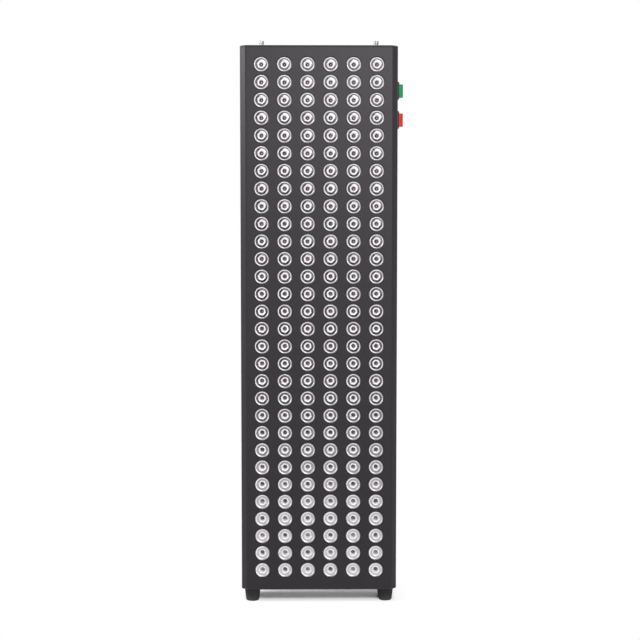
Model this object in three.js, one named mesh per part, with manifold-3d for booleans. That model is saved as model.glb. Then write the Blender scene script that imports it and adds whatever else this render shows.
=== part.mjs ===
// A tall red light therapy panel on rubber feet, in millimetres with +Z up.
// The lamps face -Y, the switches are on the +X side, and the origin is the
// middle of the housing's underside.
import * as THREE from "three";
import { ConvexGeometry } from "three/addons/geometries/ConvexGeometry.js";
import { mergeVertices } from "three/addons/utils/BufferGeometryUtils.js";
import Module from "manifold-3d";

const wasm = await Module();
wasm.setup();

// Fits shared by every piece
const seatGap = 0.3;
const overrun = 1;
const weldDistance = 1e-4;

// Lamp grid
const lampColumns = 6;
const lampRows = 30;
const columnPitch = 38;
const rowPitch = 29;
const topMargin = 31.2;
const bottomMargin = 33.8;
const sideMargin = 35;

// Lenses and their holes in the front sheet
const lensDiameter = 24;
const lensFoot = 11;
const lensHeight = 10.4;
const lensRecess = 0.6;
const lensClearance = 0.5;
const lensSides = 8;

// Folded front housing
const bodyDepth = 65;
const chamfer = 9;
const sheet = 1.5;
const rearFlange = 12;

// End caps
const capThickness = 3;
const capEdge = 1.8;
const rimDepth = 8;
const rimWall = 2;

// Rear cover with its grilles and intake slots
const coverSheet = 1.5;
const grilleSlot = 4.4;
const grilleBar = 3.6;
const grilleRim = 2.5;
const intakeWidth = 3.6;
const intakeLength = 90;
const intakePitch = 9;
const intakeCount = 3;
const intakeOffset = 64;

// Lamp boards and the finned heat sinks behind them
const boardCount = 3;
const boardThickness = 1.6;
const boardMargin = 6;
const boardGap = 1;
const sinkBase = 3;
const finThickness = 1.6;
const finPitch = 16;
const sinkLap = 6;

// Side rails that carry the heat sinks
const railSheet = 1.5;
const railBoardGap = 1;
const railDepth = 15;
const railEndGap = 4;

// Cooling fans
const fanCount = 3;
const fanSize = 80;
const fanDepth = 25;
const fanCorner = 5;
const fanFlange = 3.5;
const fanAirGap = 10.3;
const ductWall = 1.8;
const ductMargin = 2.5;
const ductSides = 12;
const motorRadius = 16;
const motorPlate = 3;
const strutWidth = 5;
const strutLapShare = 0.5;
const shaftRadius = 1.5;
const shaftClearance = 0.5;
const shaftSides = 8;
const hubSides = 12;
const hubGap = 0.5;
const hubDepth = 19;
const bladeCount = 7;
const bladeThickness = 1.2;
const bladeRootChord = 15;
const bladeTipChord = 21;
const bladeRootPitch = THREE.MathUtils.degToRad(48);
const bladeTipPitch = THREE.MathUtils.degToRad(28);
const bladeClearance = 1;
const bladeRootSink = 1.2;

// Lamp drivers in the bays between the fans
const driverLength = 168;
const driverWidth = 60;
const driverDepth = 26;
const driverEdge = 4;
const driverEar = 9;
const driverEarSheet = 1.5;
const bayGap = 10;

// Mains inlet, low on the rear cover
const inletHeight = 78;
const inletWidth = 27;
const inletTall = 19.6;
const inletDepth = 16;
const inletFlangeWidth = 50;
const inletFlangeTall = 25;
const inletFlangeEar = 11;
const inletFlange = 2.5;
const socketWall = 1.5;
const socketCorner = 4;
const socketFloor = 3;
const pinWidth = 2;
const pinTall = 4;
const pinLength = 10;
const pinSpacing = 14;
const pinOffset = 2;
const tabWidth = 6.3;
const tabThickness = 0.8;
const tabLength = 8;

// Rocker switches in the right side wall
const greenSwitchDrop = 72;
const redSwitchDrop = 120;
const rockerWidth = 22;
const rockerRadius = 14.3;
const rockerPivotDepth = 0.5;
const rockerPressedAngle = THREE.MathUtils.degToRad(17.5);
const rockerThrow = THREE.MathUtils.degToRad(32);
const rockerSkirtAngle = THREE.MathUtils.degToRad(12);
const rockerEndSteps = 4;
const rockerClearance = 0.4;
const rockerPinRadius = 1.5;
const rockerPinLength = 1.2;
const rockerPinSides = 8;
const switchWall = 1.6;
const bezelHeight = 3.2;
const bezelLap = 1.7;
const bezelBevel = 1.4;
const barrelDepth = 24;
const wellDepth = 9;
const switchGap = 1;
const terminalSpread = 7;

// Leads between the inlet, the switches, the drivers and the lamps
const mainsLeadRadius = 3;
const driverLeadRadius = 2.5;
const lampLeadRadius = 2;
const leadSides = 8;
const leadStep = 28;
const leadBend = 25;
const leadTurn = 8;
const leadWallGap = 1.5;
const leadLaneGap = 5.5;
const leadEntry = 12;

// Hanging studs on the top cap
const studInset = 35;
const studNeckRadius = 3.3;
const studNeckHeight = 4.7;
const studHeadRadius = 4.3;
const studHeadHeight = 5;
const studHeadEdge = 1.2;
const studShankRadius = 2.5;
const studShankLength = 12;
const studSides = 12;
const studHoleClearance = 0.5;
const nutRadius = 4.6;
const nutSides = 6;
const nutHeight = 4;
const washerRadius = 7;
const washerThickness = 1.2;

// Rubber feet
const footRim = 4.5;
const footPairGap = 2;
const footTaper = 2.5;
const footHeight = 21;
const footEdge = 2;
const footBoreRadius = 5;
const footBoreDepth = 13;
const footSides = 12;
const footSeatDepth = 0.8;
const footSeatClearance = 0.4;
const footScrewRadius = 2.2;

// Sizes that follow from the ones above
const bodyWidth = (lampColumns - 1) * columnPitch + 2 * sideMargin;
const bodyHeight = topMargin + (lampRows - 1) * rowPitch + bottomMargin;
const frontY = -bodyDepth / 2;
const rearY = bodyDepth / 2;
const coverFrontY = rearY - coverSheet;
const housingRearY = coverFrontY - seatGap;
const housingBottomZ = capThickness + seatGap;
const housingTopZ = bodyHeight - capThickness - seatGap;
const rowsPerBoard = lampRows / boardCount;
const boardWidth = (lampColumns - 1) * columnPitch + lensDiameter + 2 * boardMargin;
const boardHeight = rowsPerBoard * rowPitch - boardGap;
const boardFrontY = frontY + lensRecess + lensHeight;
const sinkFrontY = boardFrontY + boardThickness + seatGap;
const fanRearY = coverFrontY - seatGap;
const finRearY = fanRearY - fanDepth - fanAirGap;
const railInnerX = boardWidth / 2 + railBoardGap;
const sinkWidth = 2 * (railInnerX + sinkLap);
const finCount = Math.floor((sinkWidth - finThickness) / finPitch) + 1;
const firstFinX = (-(finCount - 1) * finPitch) / 2;
const bodyMiddleZ = bodyHeight / 2;
const bayPitch = fanSize + driverLength + 2 * bayGap;
const ductRadius = fanSize / 2 - ductMargin;
const rockerRest = rockerThrow / 2;
const wellLength = 2 * (rockerRadius + rockerClearance);
const wellWidth = rockerWidth + 2 * rockerClearance;
const barrelLength = wellLength + 2 * switchWall;
const barrelWidth = wellWidth + 2 * switchWall;
const switchY = finRearY + switchGap + barrelLength / 2;
const footTopRadius = (bodyDepth - 2 * footRim - footPairGap) / 4;
const footBottomRadius = footTopRadius - footTaper;

// How a square corner at 45 degrees shrinks when its outline is drawn in
const chamferInsetShare = 2 - Math.SQRT2;

// Finishes
function finish(color, roughness, metalness) {
  return new THREE.MeshStandardMaterial({ color, roughness, metalness });
}
const blackPaint = finish(0x2b2b2d, 0.6, 0.3);
const lensClear = finish(0xdedede, 0.15, 0);
const bareAluminium = finish(0xb5b8bb, 0.4, 1);
const zincSteel = finish(0xa8abae, 0.4, 1);
const nickel = finish(0xc9c7c2, 0.25, 1);
const blackPlastic = finish(0x161617, 0.5, 0);
const greenPlastic = finish(0x1fa564, 0.3, 0);
const redPlastic = finish(0xf4502c, 0.3, 0);
const blackRubber = finish(0x1b1b1c, 0.85, 0);
const leadSleeve = finish(0x2a2a2c, 0.55, 0);

// A closed geometry as a solid that can be joined and cut
function solidOf(geometry) {
  const bare = geometry.clone();
  bare.deleteAttribute("normal");
  bare.deleteAttribute("uv");
  const welded = mergeVertices(bare, weldDistance);
  return new wasm.Manifold(
    new wasm.Mesh({
      numProp: 3,
      vertProperties: welded.attributes.position.array,
      triVerts: new Uint32Array(welded.index.array),
    }),
  );
}

// A solid as a flat-shaded geometry
function geometryOf(solid) {
  const mesh = solid.getMesh();
  const geometry = new THREE.BufferGeometry();
  geometry.setAttribute("position", new THREE.BufferAttribute(mesh.vertProperties, 3));
  geometry.setIndex(new THREE.BufferAttribute(mesh.triVerts, 1));
  const flat = geometry.toNonIndexed();
  flat.computeVertexNormals();
  return flat;
}

function joined(first, ...others) {
  return others.reduce((whole, other) => whole.add(other), first);
}

function without(first, ...cutters) {
  return cutters.reduce((whole, cutter) => whole.subtract(cutter), first);
}

// A box between two opposite corners
function boxSolid([x0, y0, z0], [x1, y1, z1]) {
  const box = new THREE.BoxGeometry(x1 - x0, y1 - y0, z1 - z0);
  return solidOf(box.translate((x0 + x1) / 2, (y0 + y1) / 2, (z0 + z1) / 2));
}

function shapeOf(points, ...holes) {
  const toVectors = (outline) => outline.map(([a, b]) => new THREE.Vector2(a, b));
  const shape = new THREE.Shape(toVectors(points));
  shape.holes = holes.map((hole) => new THREE.Path(toVectors(hole)));
  return shape;
}

// An outline in X and Y carried from one height to another
function prismZ(shape, z0, z1) {
  const prism = new THREE.ExtrudeGeometry(shape, { depth: z1 - z0, bevelEnabled: false });
  return solidOf(prism.translate(0, 0, z0));
}

// An outline in X and Z carried through the depth
function prismY(shape, y0, y1) {
  const prism = new THREE.ExtrudeGeometry(shape, { depth: y1 - y0, bevelEnabled: false });
  return solidOf(prism.rotateX(Math.PI / 2).translate(0, y1, 0));
}

// A profile of radius and height turned about the Z axis
function turnedZ(profile, sides) {
  const points = profile.map(([radius, height]) => new THREE.Vector2(radius, height));
  const lathe = new THREE.LatheGeometry(points, sides, Math.PI / sides);
  return solidOf(lathe.rotateX(Math.PI / 2));
}

// A round bar along Y, with a flat side towards each axis
function barY(radius, y0, y1, sides, x = 0, z = 0) {
  const bar = new THREE.CylinderGeometry(
    radius, radius, y1 - y0, sides, 1, false, Math.PI / sides,
  );
  return solidOf(bar.translate(x, (y0 + y1) / 2, z));
}

// A round bar along Z
function barZ(radius, z0, z1, sides, x = 0, y = 0) {
  const bar = new THREE.CylinderGeometry(
    radius, radius, z1 - z0, sides, 1, false, Math.PI / sides,
  );
  return solidOf(bar.rotateX(Math.PI / 2).translate(x, y, (z0 + z1) / 2));
}

// A skin through rings of equally many points, closed flat at both ends
function loftSolid(rings) {
  const count = rings[0].length;
  const indices = [];
  for (let level = 0; level < rings.length - 1; level++) {
    for (let side = 0; side < count; side++) {
      const next = (side + 1) % count;
      const [a, b] = [level * count + side, level * count + next];
      indices.push(a, b, b + count, a, b + count, a + count);
    }
  }
  const last = (rings.length - 1) * count;
  for (let side = 1; side < count - 1; side++) {
    indices.push(0, side + 1, side);
    indices.push(last, last + side, last + side + 1);
  }
  const geometry = new THREE.BufferGeometry();
  geometry.setAttribute("position", new THREE.Float32BufferAttribute(rings.flat(2), 3));
  geometry.setIndex(indices);
  return solidOf(geometry);
}

function meshOf(name, solid, material) {
  const mesh = new THREE.Mesh(geometryOf(solid), material);
  mesh.name = name;
  return mesh;
}

// The housing's outline seen from above, drawn in by an inset, from its rear
// left corner round the chamfered front to its rear right corner
function bodyOutline(inset, outlineRearY) {
  const side = bodyWidth / 2 - inset;
  const front = frontY + inset;
  const leg = chamfer - inset * chamferInsetShare;
  return [
    [-side, outlineRearY],
    [-side, front + leg],
    [-side + leg, front],
    [side - leg, front],
    [side, front + leg],
    [side, outlineRearY],
  ];
}

function rectangle(width, tall, x = 0, y = 0) {
  const [halfWidth, halfTall] = [width / 2, tall / 2];
  return [
    [x - halfWidth, y - halfTall],
    [x + halfWidth, y - halfTall],
    [x + halfWidth, y + halfTall],
    [x - halfWidth, y + halfTall],
  ];
}

// The x of each lamp column, and the z of each lamp row from the top down
const lampXs = Array.from(
  { length: lampColumns },
  (_, column) => (column - (lampColumns - 1) / 2) * columnPitch,
);
const lampZs = Array.from(
  { length: lampRows },
  (_, row) => bodyHeight - topMargin - row * rowPitch,
);
const switchZs = [bodyHeight - greenSwitchDrop, bodyHeight - redSwitchDrop];
const fanZs = Array.from(
  { length: fanCount },
  (_, fan) => bodyMiddleZ + ((fanCount - 1) / 2 - fan) * bayPitch,
);
const driverZs = fanZs.slice(1).map((z) => z + bayPitch / 2);
const driverEntryShift = driverLength / 2 - driverEar - leadEntry;

// Folded sheet: a perforated front, two chamfers, two side walls and the
// return flanges that the rear cover screws to
function frontHousing() {
  const flangeX = bodyWidth / 2 - rearFlange;
  const section = shapeOf([
    [-flangeX, housingRearY],
    ...bodyOutline(0, housingRearY),
    [flangeX, housingRearY],
    [flangeX, housingRearY - sheet],
    ...bodyOutline(sheet, housingRearY - sheet).reverse(),
    [-flangeX, housingRearY - sheet],
  ]);
  let housing = prismZ(section, housingBottomZ, housingTopZ);
  const holeRadius = lensDiameter / 2 + lensClearance;
  const [holeFront, holeRear] = [frontY - overrun, frontY + sheet + overrun];
  for (const z of lampZs) {
    for (const x of lampXs) {
      housing = without(housing, barY(holeRadius, holeFront, holeRear, lensSides, x, z));
    }
  }
  const [halfLength, halfWidth] = [barrelLength / 2 + seatGap, barrelWidth / 2 + seatGap];
  for (const z of switchZs) {
    const cutout = boxSolid(
      [bodyWidth / 2 - sheet - overrun, switchY - halfLength, z - halfWidth],
      [bodyWidth / 2 + overrun, switchY + halfLength, z + halfWidth],
    );
    housing = without(housing, cutout);
  }
  return meshOf("front_housing", housing, blackPaint);
}

// A cap as it lies under the housing: a plate with a bevelled outer edge and
// a rim that locates it inside the housing's walls
function capSolid() {
  const ring = (inset, z) => bodyOutline(inset, rearY - inset).map(([x, y]) => [x, y, z]);
  const plate = loftSolid([ring(capEdge, 0), ring(0, capEdge), ring(0, capThickness)]);
  const rimInset = sheet + seatGap;
  const rimRearY = housingRearY - sheet - seatGap;
  const rim = prismZ(
    shapeOf(bodyOutline(rimInset, rimRearY), bodyOutline(rimInset + rimWall, rimRearY - rimWall)),
    capThickness - overrun,
    capThickness + rimDepth,
  );
  return joined(plate, rim);
}

const footPlaces = [
  ["front_left", -1, -1],
  ["front_right", 1, -1],
  ["rear_left", -1, 1],
  ["rear_right", 1, 1],
].map(([name, sideX, sideY]) => ({
  name,
  x: sideX * (bodyWidth / 2 - footRim - footTopRadius),
  y: sideY * (bodyDepth / 2 - footRim - footTopRadius),
}));

// The bottom cap has a shallow round seat and a screw hole for each foot
function bottomCap() {
  let cap = capSolid();
  for (const { x, y } of footPlaces) {
    const seatRadius = footTopRadius + footSeatClearance;
    const seat = barZ(seatRadius, -overrun, footSeatDepth, footSides, x, y);
    const hole = barZ(footScrewRadius, -overrun, capThickness + overrun, shaftSides, x, y);
    cap = without(cap, seat, hole);
  }
  return meshOf("bottom_cap", cap, blackPaint);
}

const studXs = [-(bodyWidth / 2 - studInset), bodyWidth / 2 - studInset];

// The top cap is the same pressing turned over, with two holes for the studs
function topCap() {
  let cap = capSolid();
  const holeRadius = studShankRadius + studHoleClearance;
  for (const x of studXs) {
    cap = without(cap, barZ(holeRadius, -overrun, capThickness + overrun, shaftSides, x));
  }
  const mesh = meshOf("top_cap", cap, blackPaint);
  mesh.rotation.y = Math.PI;
  mesh.position.z = bodyHeight;
  return mesh;
}

// Straight slots that together fill a circle, as the fans' finger guards
function grilleSlots(centreZ) {
  const radius = ductRadius - grilleRim;
  const pitch = grilleSlot + grilleBar;
  const rows = Math.floor((radius - grilleSlot / 2) / pitch);
  const slots = [];
  for (let row = -rows; row <= rows; row++) {
    const edges = [row * pitch - grilleSlot / 2, row * pitch + grilleSlot / 2];
    const [lower, upper] = edges.map((edge) => Math.sqrt(radius ** 2 - edge ** 2));
    slots.push([
      [-lower, centreZ + edges[0]],
      [lower, centreZ + edges[0]],
      [upper, centreZ + edges[1]],
      [-upper, centreZ + edges[1]],
    ]);
  }
  return slots;
}

// Flat rear cover with a slotted guard behind each fan, intake slots beside
// each driver and the cut-out of the mains inlet
function rearCover() {
  const outline = [
    [-bodyWidth / 2, housingBottomZ],
    [bodyWidth / 2, housingBottomZ],
    [bodyWidth / 2, housingTopZ],
    [-bodyWidth / 2, housingTopZ],
  ];
  const intakes = [];
  for (const z of driverZs) {
    for (const side of [-1, 1]) {
      for (let slot = 0; slot < intakeCount; slot++) {
        const x = side * (intakeOffset + slot * intakePitch);
        intakes.push(rectangle(intakeWidth, intakeLength, x, z));
      }
    }
  }
  const inlet = rectangle(inletWidth + 2 * seatGap, inletTall + 2 * seatGap, 0, inletHeight);
  const openings = [...fanZs.flatMap(grilleSlots), ...intakes, inlet];
  const cover = without(
    prismY(shapeOf(outline), coverFrontY, rearY),
    ...openings.map((opening) => prismY(shapeOf(opening), coverFrontY - overrun, rearY + overrun)),
  );
  return meshOf("rear_cover", cover, blackPaint);
}

// A collimating lens: round at the front and tapering to a square foot that
// stands round its lamp on the board
function lens(x, z) {
  const radius = lensDiameter / 2;
  const front = Array.from({ length: lensSides }, (_, side) => {
    const angle = ((side + 0.5) / lensSides) * 2 * Math.PI;
    return [x + radius * Math.cos(angle), boardFrontY - lensHeight, z + radius * Math.sin(angle)];
  });
  const back = rectangle(lensFoot, lensFoot, x, z).map(([a, b]) => [a, boardFrontY, b]);
  const points = [...front, ...back].map((point) => new THREE.Vector3(...point));
  return solidOf(new ConvexGeometry(points));
}

// A bank of lamps: one board with a lens over each lamp
function lampBoard(name, zs) {
  const middle = (zs[0] + zs[zs.length - 1]) / 2;
  const board = boxSolid(
    [-boardWidth / 2, boardFrontY, middle - boardHeight / 2],
    [boardWidth / 2, boardFrontY + boardThickness, middle + boardHeight / 2],
  );
  const lenses = zs.flatMap((z) => lampXs.map((x) => lens(x, z)));
  return meshOf(name, joined(board, ...lenses), lensClear);
}

// A finned extrusion behind each board
function heatSink(name, middle) {
  const rootY = sinkFrontY + sinkBase;
  const comb = [[-sinkWidth / 2, rootY], [-sinkWidth / 2, sinkFrontY]];
  comb.push([sinkWidth / 2, sinkFrontY], [sinkWidth / 2, rootY]);
  for (let fin = finCount - 1; fin >= 0; fin--) {
    const x = firstFinX + fin * finPitch;
    comb.push([x + finThickness / 2, rootY], [x + finThickness / 2, finRearY]);
    comb.push([x - finThickness / 2, finRearY], [x - finThickness / 2, rootY]);
  }
  const sink = prismZ(shapeOf(comb), middle - boardHeight / 2, middle + boardHeight / 2);
  return meshOf(name, sink, bareAluminium);
}

// An angle against the side wall whose lip carries the heat sinks' edges
function mountingRail(name, side) {
  const wallX = bodyWidth / 2 - sheet - seatGap;
  const lipRearY = sinkFrontY - seatGap;
  const angle = [
    [railInnerX, lipRearY - railSheet],
    [wallX, lipRearY - railSheet],
    [wallX, lipRearY + railDepth],
    [wallX - railSheet, lipRearY + railDepth],
    [wallX - railSheet, lipRearY],
    [railInnerX, lipRearY],
  ].map(([x, y]) => [side * x, y]);
  const ends = capThickness + rimDepth + railEndGap;
  const rail = prismZ(shapeOf(angle), ends, bodyHeight - ends);
  return meshOf(name, rail, zincSteel);
}

// Fan frame, with its rear face at y = 0: two square flanges on a round duct,
// and struts that hold the motor plate with the shaft's bore
function fanFrame(name) {
  const [half, cut] = [fanSize / 2, fanSize / 2 - fanCorner];
  const square = shapeOf([
    [-cut, -half], [cut, -half], [half, -cut], [half, cut],
    [cut, half], [-cut, half], [-half, cut], [-half, -cut],
  ]);
  const tube = barY(ductRadius + ductWall, -fanDepth, 0, ductSides);
  const shell = joined(
    tube,
    prismY(square, -fanDepth, fanFlange - fanDepth),
    prismY(square, -fanFlange, 0),
  );
  const duct = barY(ductRadius, -fanDepth - overrun, overrun, ductSides);
  const reach = ductRadius + ductWall * strutLapShare;
  const strut = (width, length) => boxSolid(
    [-width / 2, -motorPlate, -length / 2],
    [width / 2, 0, length / 2],
  );
  const cross = joined(strut(strutWidth, 2 * reach), strut(2 * reach, strutWidth));
  const plate = barY(motorRadius, -motorPlate, 0, hubSides);
  const bore = barY(shaftRadius + shaftClearance, -motorPlate - overrun, overrun, shaftSides);
  const frame = without(joined(without(shell, duct), cross, plate), bore);
  return meshOf(name, frame, blackPlastic);
}

// The four corners of a blade's section, wrapped round the shaft at a radius
function bladeRing(radius, chord, pitch, middleY) {
  const corners = [[-0.5, -0.5], [0.5, -0.5], [0.5, 0.5], [-0.5, 0.5]];
  return corners.map(([along, across]) => {
    const [length, width] = [along * chord, across * bladeThickness];
    const around = (length * Math.cos(pitch) - width * Math.sin(pitch)) / radius;
    const y = middleY + length * Math.sin(pitch) + width * Math.cos(pitch);
    return [radius * Math.sin(around), y, radius * Math.cos(around)];
  });
}

// Fan rotor: hub, twisted blades and the shaft that runs in the motor plate
function fanRotor(name) {
  const hubRearY = -motorPlate - hubGap;
  const middleY = hubRearY - hubDepth / 2;
  const tipRadius = ductRadius * Math.cos(Math.PI / ductSides) - bladeClearance;
  const rootRadius = motorRadius - bladeRootSink;
  const blade = loftSolid([
    bladeRing(rootRadius, bladeRootChord, bladeRootPitch, middleY),
    bladeRing(
      (rootRadius + tipRadius) / 2,
      (bladeRootChord + bladeTipChord) / 2,
      (bladeRootPitch + bladeTipPitch) / 2,
      middleY,
    ),
    bladeRing(tipRadius, bladeTipChord, bladeTipPitch, middleY),
  ]);
  let rotor = joined(
    barY(motorRadius, hubRearY - hubDepth, hubRearY, hubSides),
    barY(shaftRadius, hubRearY - overrun, -hubGap, shaftSides),
  );
  for (let turn = 0; turn < bladeCount; turn++) {
    rotor = rotor.add(blade.rotate([0, (turn / bladeCount) * 360, 0]));
  }
  return meshOf(name, rotor, blackPlastic);
}

// Lamp driver, with its mounting face at y = 0: a case and an ear at each end
function driver(name) {
  const [half, front] = [driverWidth / 2, -driverDepth];
  const section = shapeOf([
    [-half, 0],
    [-half, front + driverEdge],
    [-half + driverEdge, front],
    [half - driverEdge, front],
    [half, front + driverEdge],
    [half, 0],
  ]);
  const caseEnd = driverLength / 2 - driverEar;
  const ears = boxSolid(
    [-half + driverEdge, -driverEarSheet, -driverLength / 2],
    [half - driverEdge, 0, driverLength / 2],
  );
  return meshOf(name, joined(prismZ(section, -caseEnd, caseEnd), ears), bareAluminium);
}

// Mains inlet, with the cover's rear face at y = 0: a flange with two pointed
// ears, a socket with three pins, and the tabs behind them
function mainsInlet() {
  const [flangeFrontY, flangeRearY] = [seatGap, seatGap + inletFlange];
  const [tip, shoulder] = [inletFlangeWidth / 2, inletFlangeWidth / 2 - inletFlangeEar];
  const [tall, tipTall] = [inletFlangeTall / 2, inletFlangeEar / 2];
  const flange = shapeOf([
    [-tip, -tipTall], [-shoulder, -tall], [shoulder, -tall], [tip, -tipTall],
    [tip, tipTall], [shoulder, tall], [-shoulder, tall], [-tip, tipTall],
  ]);
  const body = shapeOf(rectangle(inletWidth, inletTall));
  const [socketX, socketZ] = [inletWidth / 2 - socketWall, inletTall / 2 - socketWall];
  const socket = shapeOf([
    [-socketX, -socketZ],
    [socketX, -socketZ],
    [socketX, socketZ - socketCorner],
    [socketX - socketCorner, socketZ],
    [-socketX + socketCorner, socketZ],
    [-socketX, socketZ - socketCorner],
  ]);
  const bodyFrontY = flangeRearY - inletFlange - inletDepth;
  const floorY = bodyFrontY + socketFloor;
  let inlet = joined(
    prismY(flange, flangeFrontY, flangeRearY),
    prismY(body, bodyFrontY, flangeRearY),
  );
  inlet = without(inlet, prismY(socket, floorY, flangeRearY + overrun));
  const pinPlaces = [[-pinSpacing / 2, -pinOffset], [0, pinOffset], [pinSpacing / 2, -pinOffset]];
  for (const [x, z] of pinPlaces) {
    const pin = shapeOf(rectangle(pinWidth, pinTall, x, z));
    const tab = shapeOf(rectangle(tabThickness, tabWidth, x, z));
    inlet = joined(
      inlet,
      prismY(pin, floorY - overrun, floorY + pinLength),
      prismY(tab, bodyFrontY - tabLength, bodyFrontY + overrun),
    );
  }
  const mesh = meshOf("mains_inlet", inlet, blackPlastic);
  mesh.position.set(0, rearY, inletHeight);
  return mesh;
}

// Switch body, with the wall's outer face at x = 0: a bevelled bezel, a barrel
// through the wall, the rocker's well with its two pivot holes, and four tabs
function switchBody(name) {
  const bezelRing = (lap, x) => rectangle(barrelLength + 2 * lap, barrelWidth + 2 * lap)
    .map(([y, z]) => [x, y, z]);
  const bezel = loftSolid([
    bezelRing(bezelLap, seatGap),
    bezelRing(bezelLap, seatGap + bezelHeight - bezelBevel),
    bezelRing(bezelLap - bezelBevel, seatGap + bezelHeight),
  ]);
  const [halfLength, halfWidth] = [barrelLength / 2, barrelWidth / 2];
  const barrel = boxSolid(
    [-barrelDepth, -halfLength, -halfWidth],
    [bezelHeight / 2, halfLength, halfWidth],
  );
  const well = boxSolid(
    [-wellDepth, -wellLength / 2, -wellWidth / 2],
    [bezelHeight + overrun, wellLength / 2, wellWidth / 2],
  );
  const pivotRadius = rockerPinRadius + rockerClearance;
  const pivots = barZ(
    pivotRadius, -halfWidth - overrun, halfWidth + overrun, rockerPinSides, -rockerPivotDepth,
  );
  let body = without(joined(bezel, barrel), well, pivots);
  for (const y of [-terminalSpread, terminalSpread]) {
    for (const z of [-terminalSpread, terminalSpread]) {
      const tab = boxSolid(
        [-barrelDepth - tabLength, y - tabThickness / 2, z - tabWidth / 2],
        [overrun - barrelDepth, y + tabThickness / 2, z + tabWidth / 2],
      );
      body = joined(body, tab);
    }
  }
  return meshOf(name, body, blackPlastic);
}

// Rocker, with its pivot at the origin and turned so that its front half is
// raised: ends that are arcs about the pivot, a V-shaped top and two pins
function rocker(name, material) {
  const cornerAngle = rockerPressedAngle + rockerRest;
  const end = [];
  for (let step = 0; step <= rockerEndSteps; step++) {
    const share = step / rockerEndSteps;
    const angle = -rockerSkirtAngle + share * (cornerAngle + rockerSkirtAngle);
    end.push([rockerRadius * Math.sin(angle), rockerRadius * Math.cos(angle)]);
  }
  const middleX = (rockerRadius * Math.sin(rockerPressedAngle)) / Math.cos(rockerRest);
  const otherEnd = end.map(([x, y]) => [x, -y]).reverse();
  const profile = shapeOf([...end, [middleX, 0], ...otherEnd]);
  const half = rockerWidth / 2;
  const pins = barZ(rockerPinRadius, -half - rockerPinLength, half + rockerPinLength, rockerPinSides);
  const mesh = meshOf(name, joined(prismZ(profile, -half, half), pins), material);
  mesh.rotation.z = rockerRest;
  mesh.position.x = -rockerPivotDepth;
  return mesh;
}

function rockerSwitch(colour, material, z) {
  const group = new THREE.Group();
  group.position.set(bodyWidth / 2, switchY, z);
  group.add(switchBody(`${colour}_switch_body`), rocker(`${colour}_rocker`, material));
  return group;
}

// A line through some points whose corners are rounded over a bend's length
function roundedLine(points, bend) {
  const corners = points.map((point) => new THREE.Vector3(...point));
  const path = new THREE.CurvePath();
  let from = corners[0];
  for (let index = 1; index < corners.length - 1; index++) {
    const [before, corner, after] = corners.slice(index - 1, index + 2);
    const cut = Math.min(bend, before.distanceTo(corner) / 2, corner.distanceTo(after) / 2);
    const enter = before.clone().sub(corner).setLength(cut).add(corner);
    const leave = after.clone().sub(corner).setLength(cut).add(corner);
    path.add(new THREE.LineCurve3(from, enter));
    path.add(new THREE.QuadraticBezierCurve3(enter, corner, leave));
    from = leave;
  }
  path.add(new THREE.LineCurve3(from, corners[corners.length - 1]));
  return path;
}

// A sleeved lead of round section along a rounded line
function lead(name, radius, points, bend = leadBend) {
  const path = roundedLine(points, bend);
  const ring = Array.from({ length: leadSides }, (_, side) => {
    const angle = (side / leadSides) * 2 * Math.PI;
    return [radius * Math.cos(angle), radius * Math.sin(angle)];
  });
  const steps = Math.ceil(path.getLength() / leadStep);
  const tube = new THREE.ExtrudeGeometry(shapeOf(ring), { steps, extrudePath: path });
  return meshOf(name, solidOf(tube), leadSleeve);
}

// The lead from the inlet's side tab along the right wall to the red switch,
// and the link from there to the green switch
function supplyLeads() {
  const [tabX, tabY] = [bodyWidth / 2 - barrelDepth - tabLength / 2, switchY + terminalSpread];
  const tabReach = terminalSpread + tabWidth / 2 + seatGap;
  const [greenZ, redZ] = switchZs;
  const inletTabX = pinSpacing / 2 + tabThickness / 2 + seatGap;
  const inletTabY = rearY + seatGap - inletDepth - tabLength / 2;
  const inletTabZ = inletHeight - pinOffset;
  const laneX = bodyWidth / 2 - sheet - leadWallGap - mainsLeadRadius;
  const laneY = housingRearY - sheet - leadWallGap - mainsLeadRadius;
  const mains = lead("mains_lead", mainsLeadRadius, [
    [inletTabX, inletTabY, inletTabZ],
    [inletTabX + leadBend, inletTabY, inletTabZ],
    [laneX, laneY, inletTabZ],
    [laneX, laneY, redZ - tabReach - 3 * leadBend],
    [tabX, tabY, redZ - tabReach - leadBend],
    [tabX, tabY, redZ - tabReach],
  ]);
  const link = lead("switch_link_lead", driverLeadRadius, [
    [tabX, tabY, redZ + tabReach],
    [tabX, tabY, greenZ - tabReach],
  ]);
  return [mains, link];
}

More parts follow.
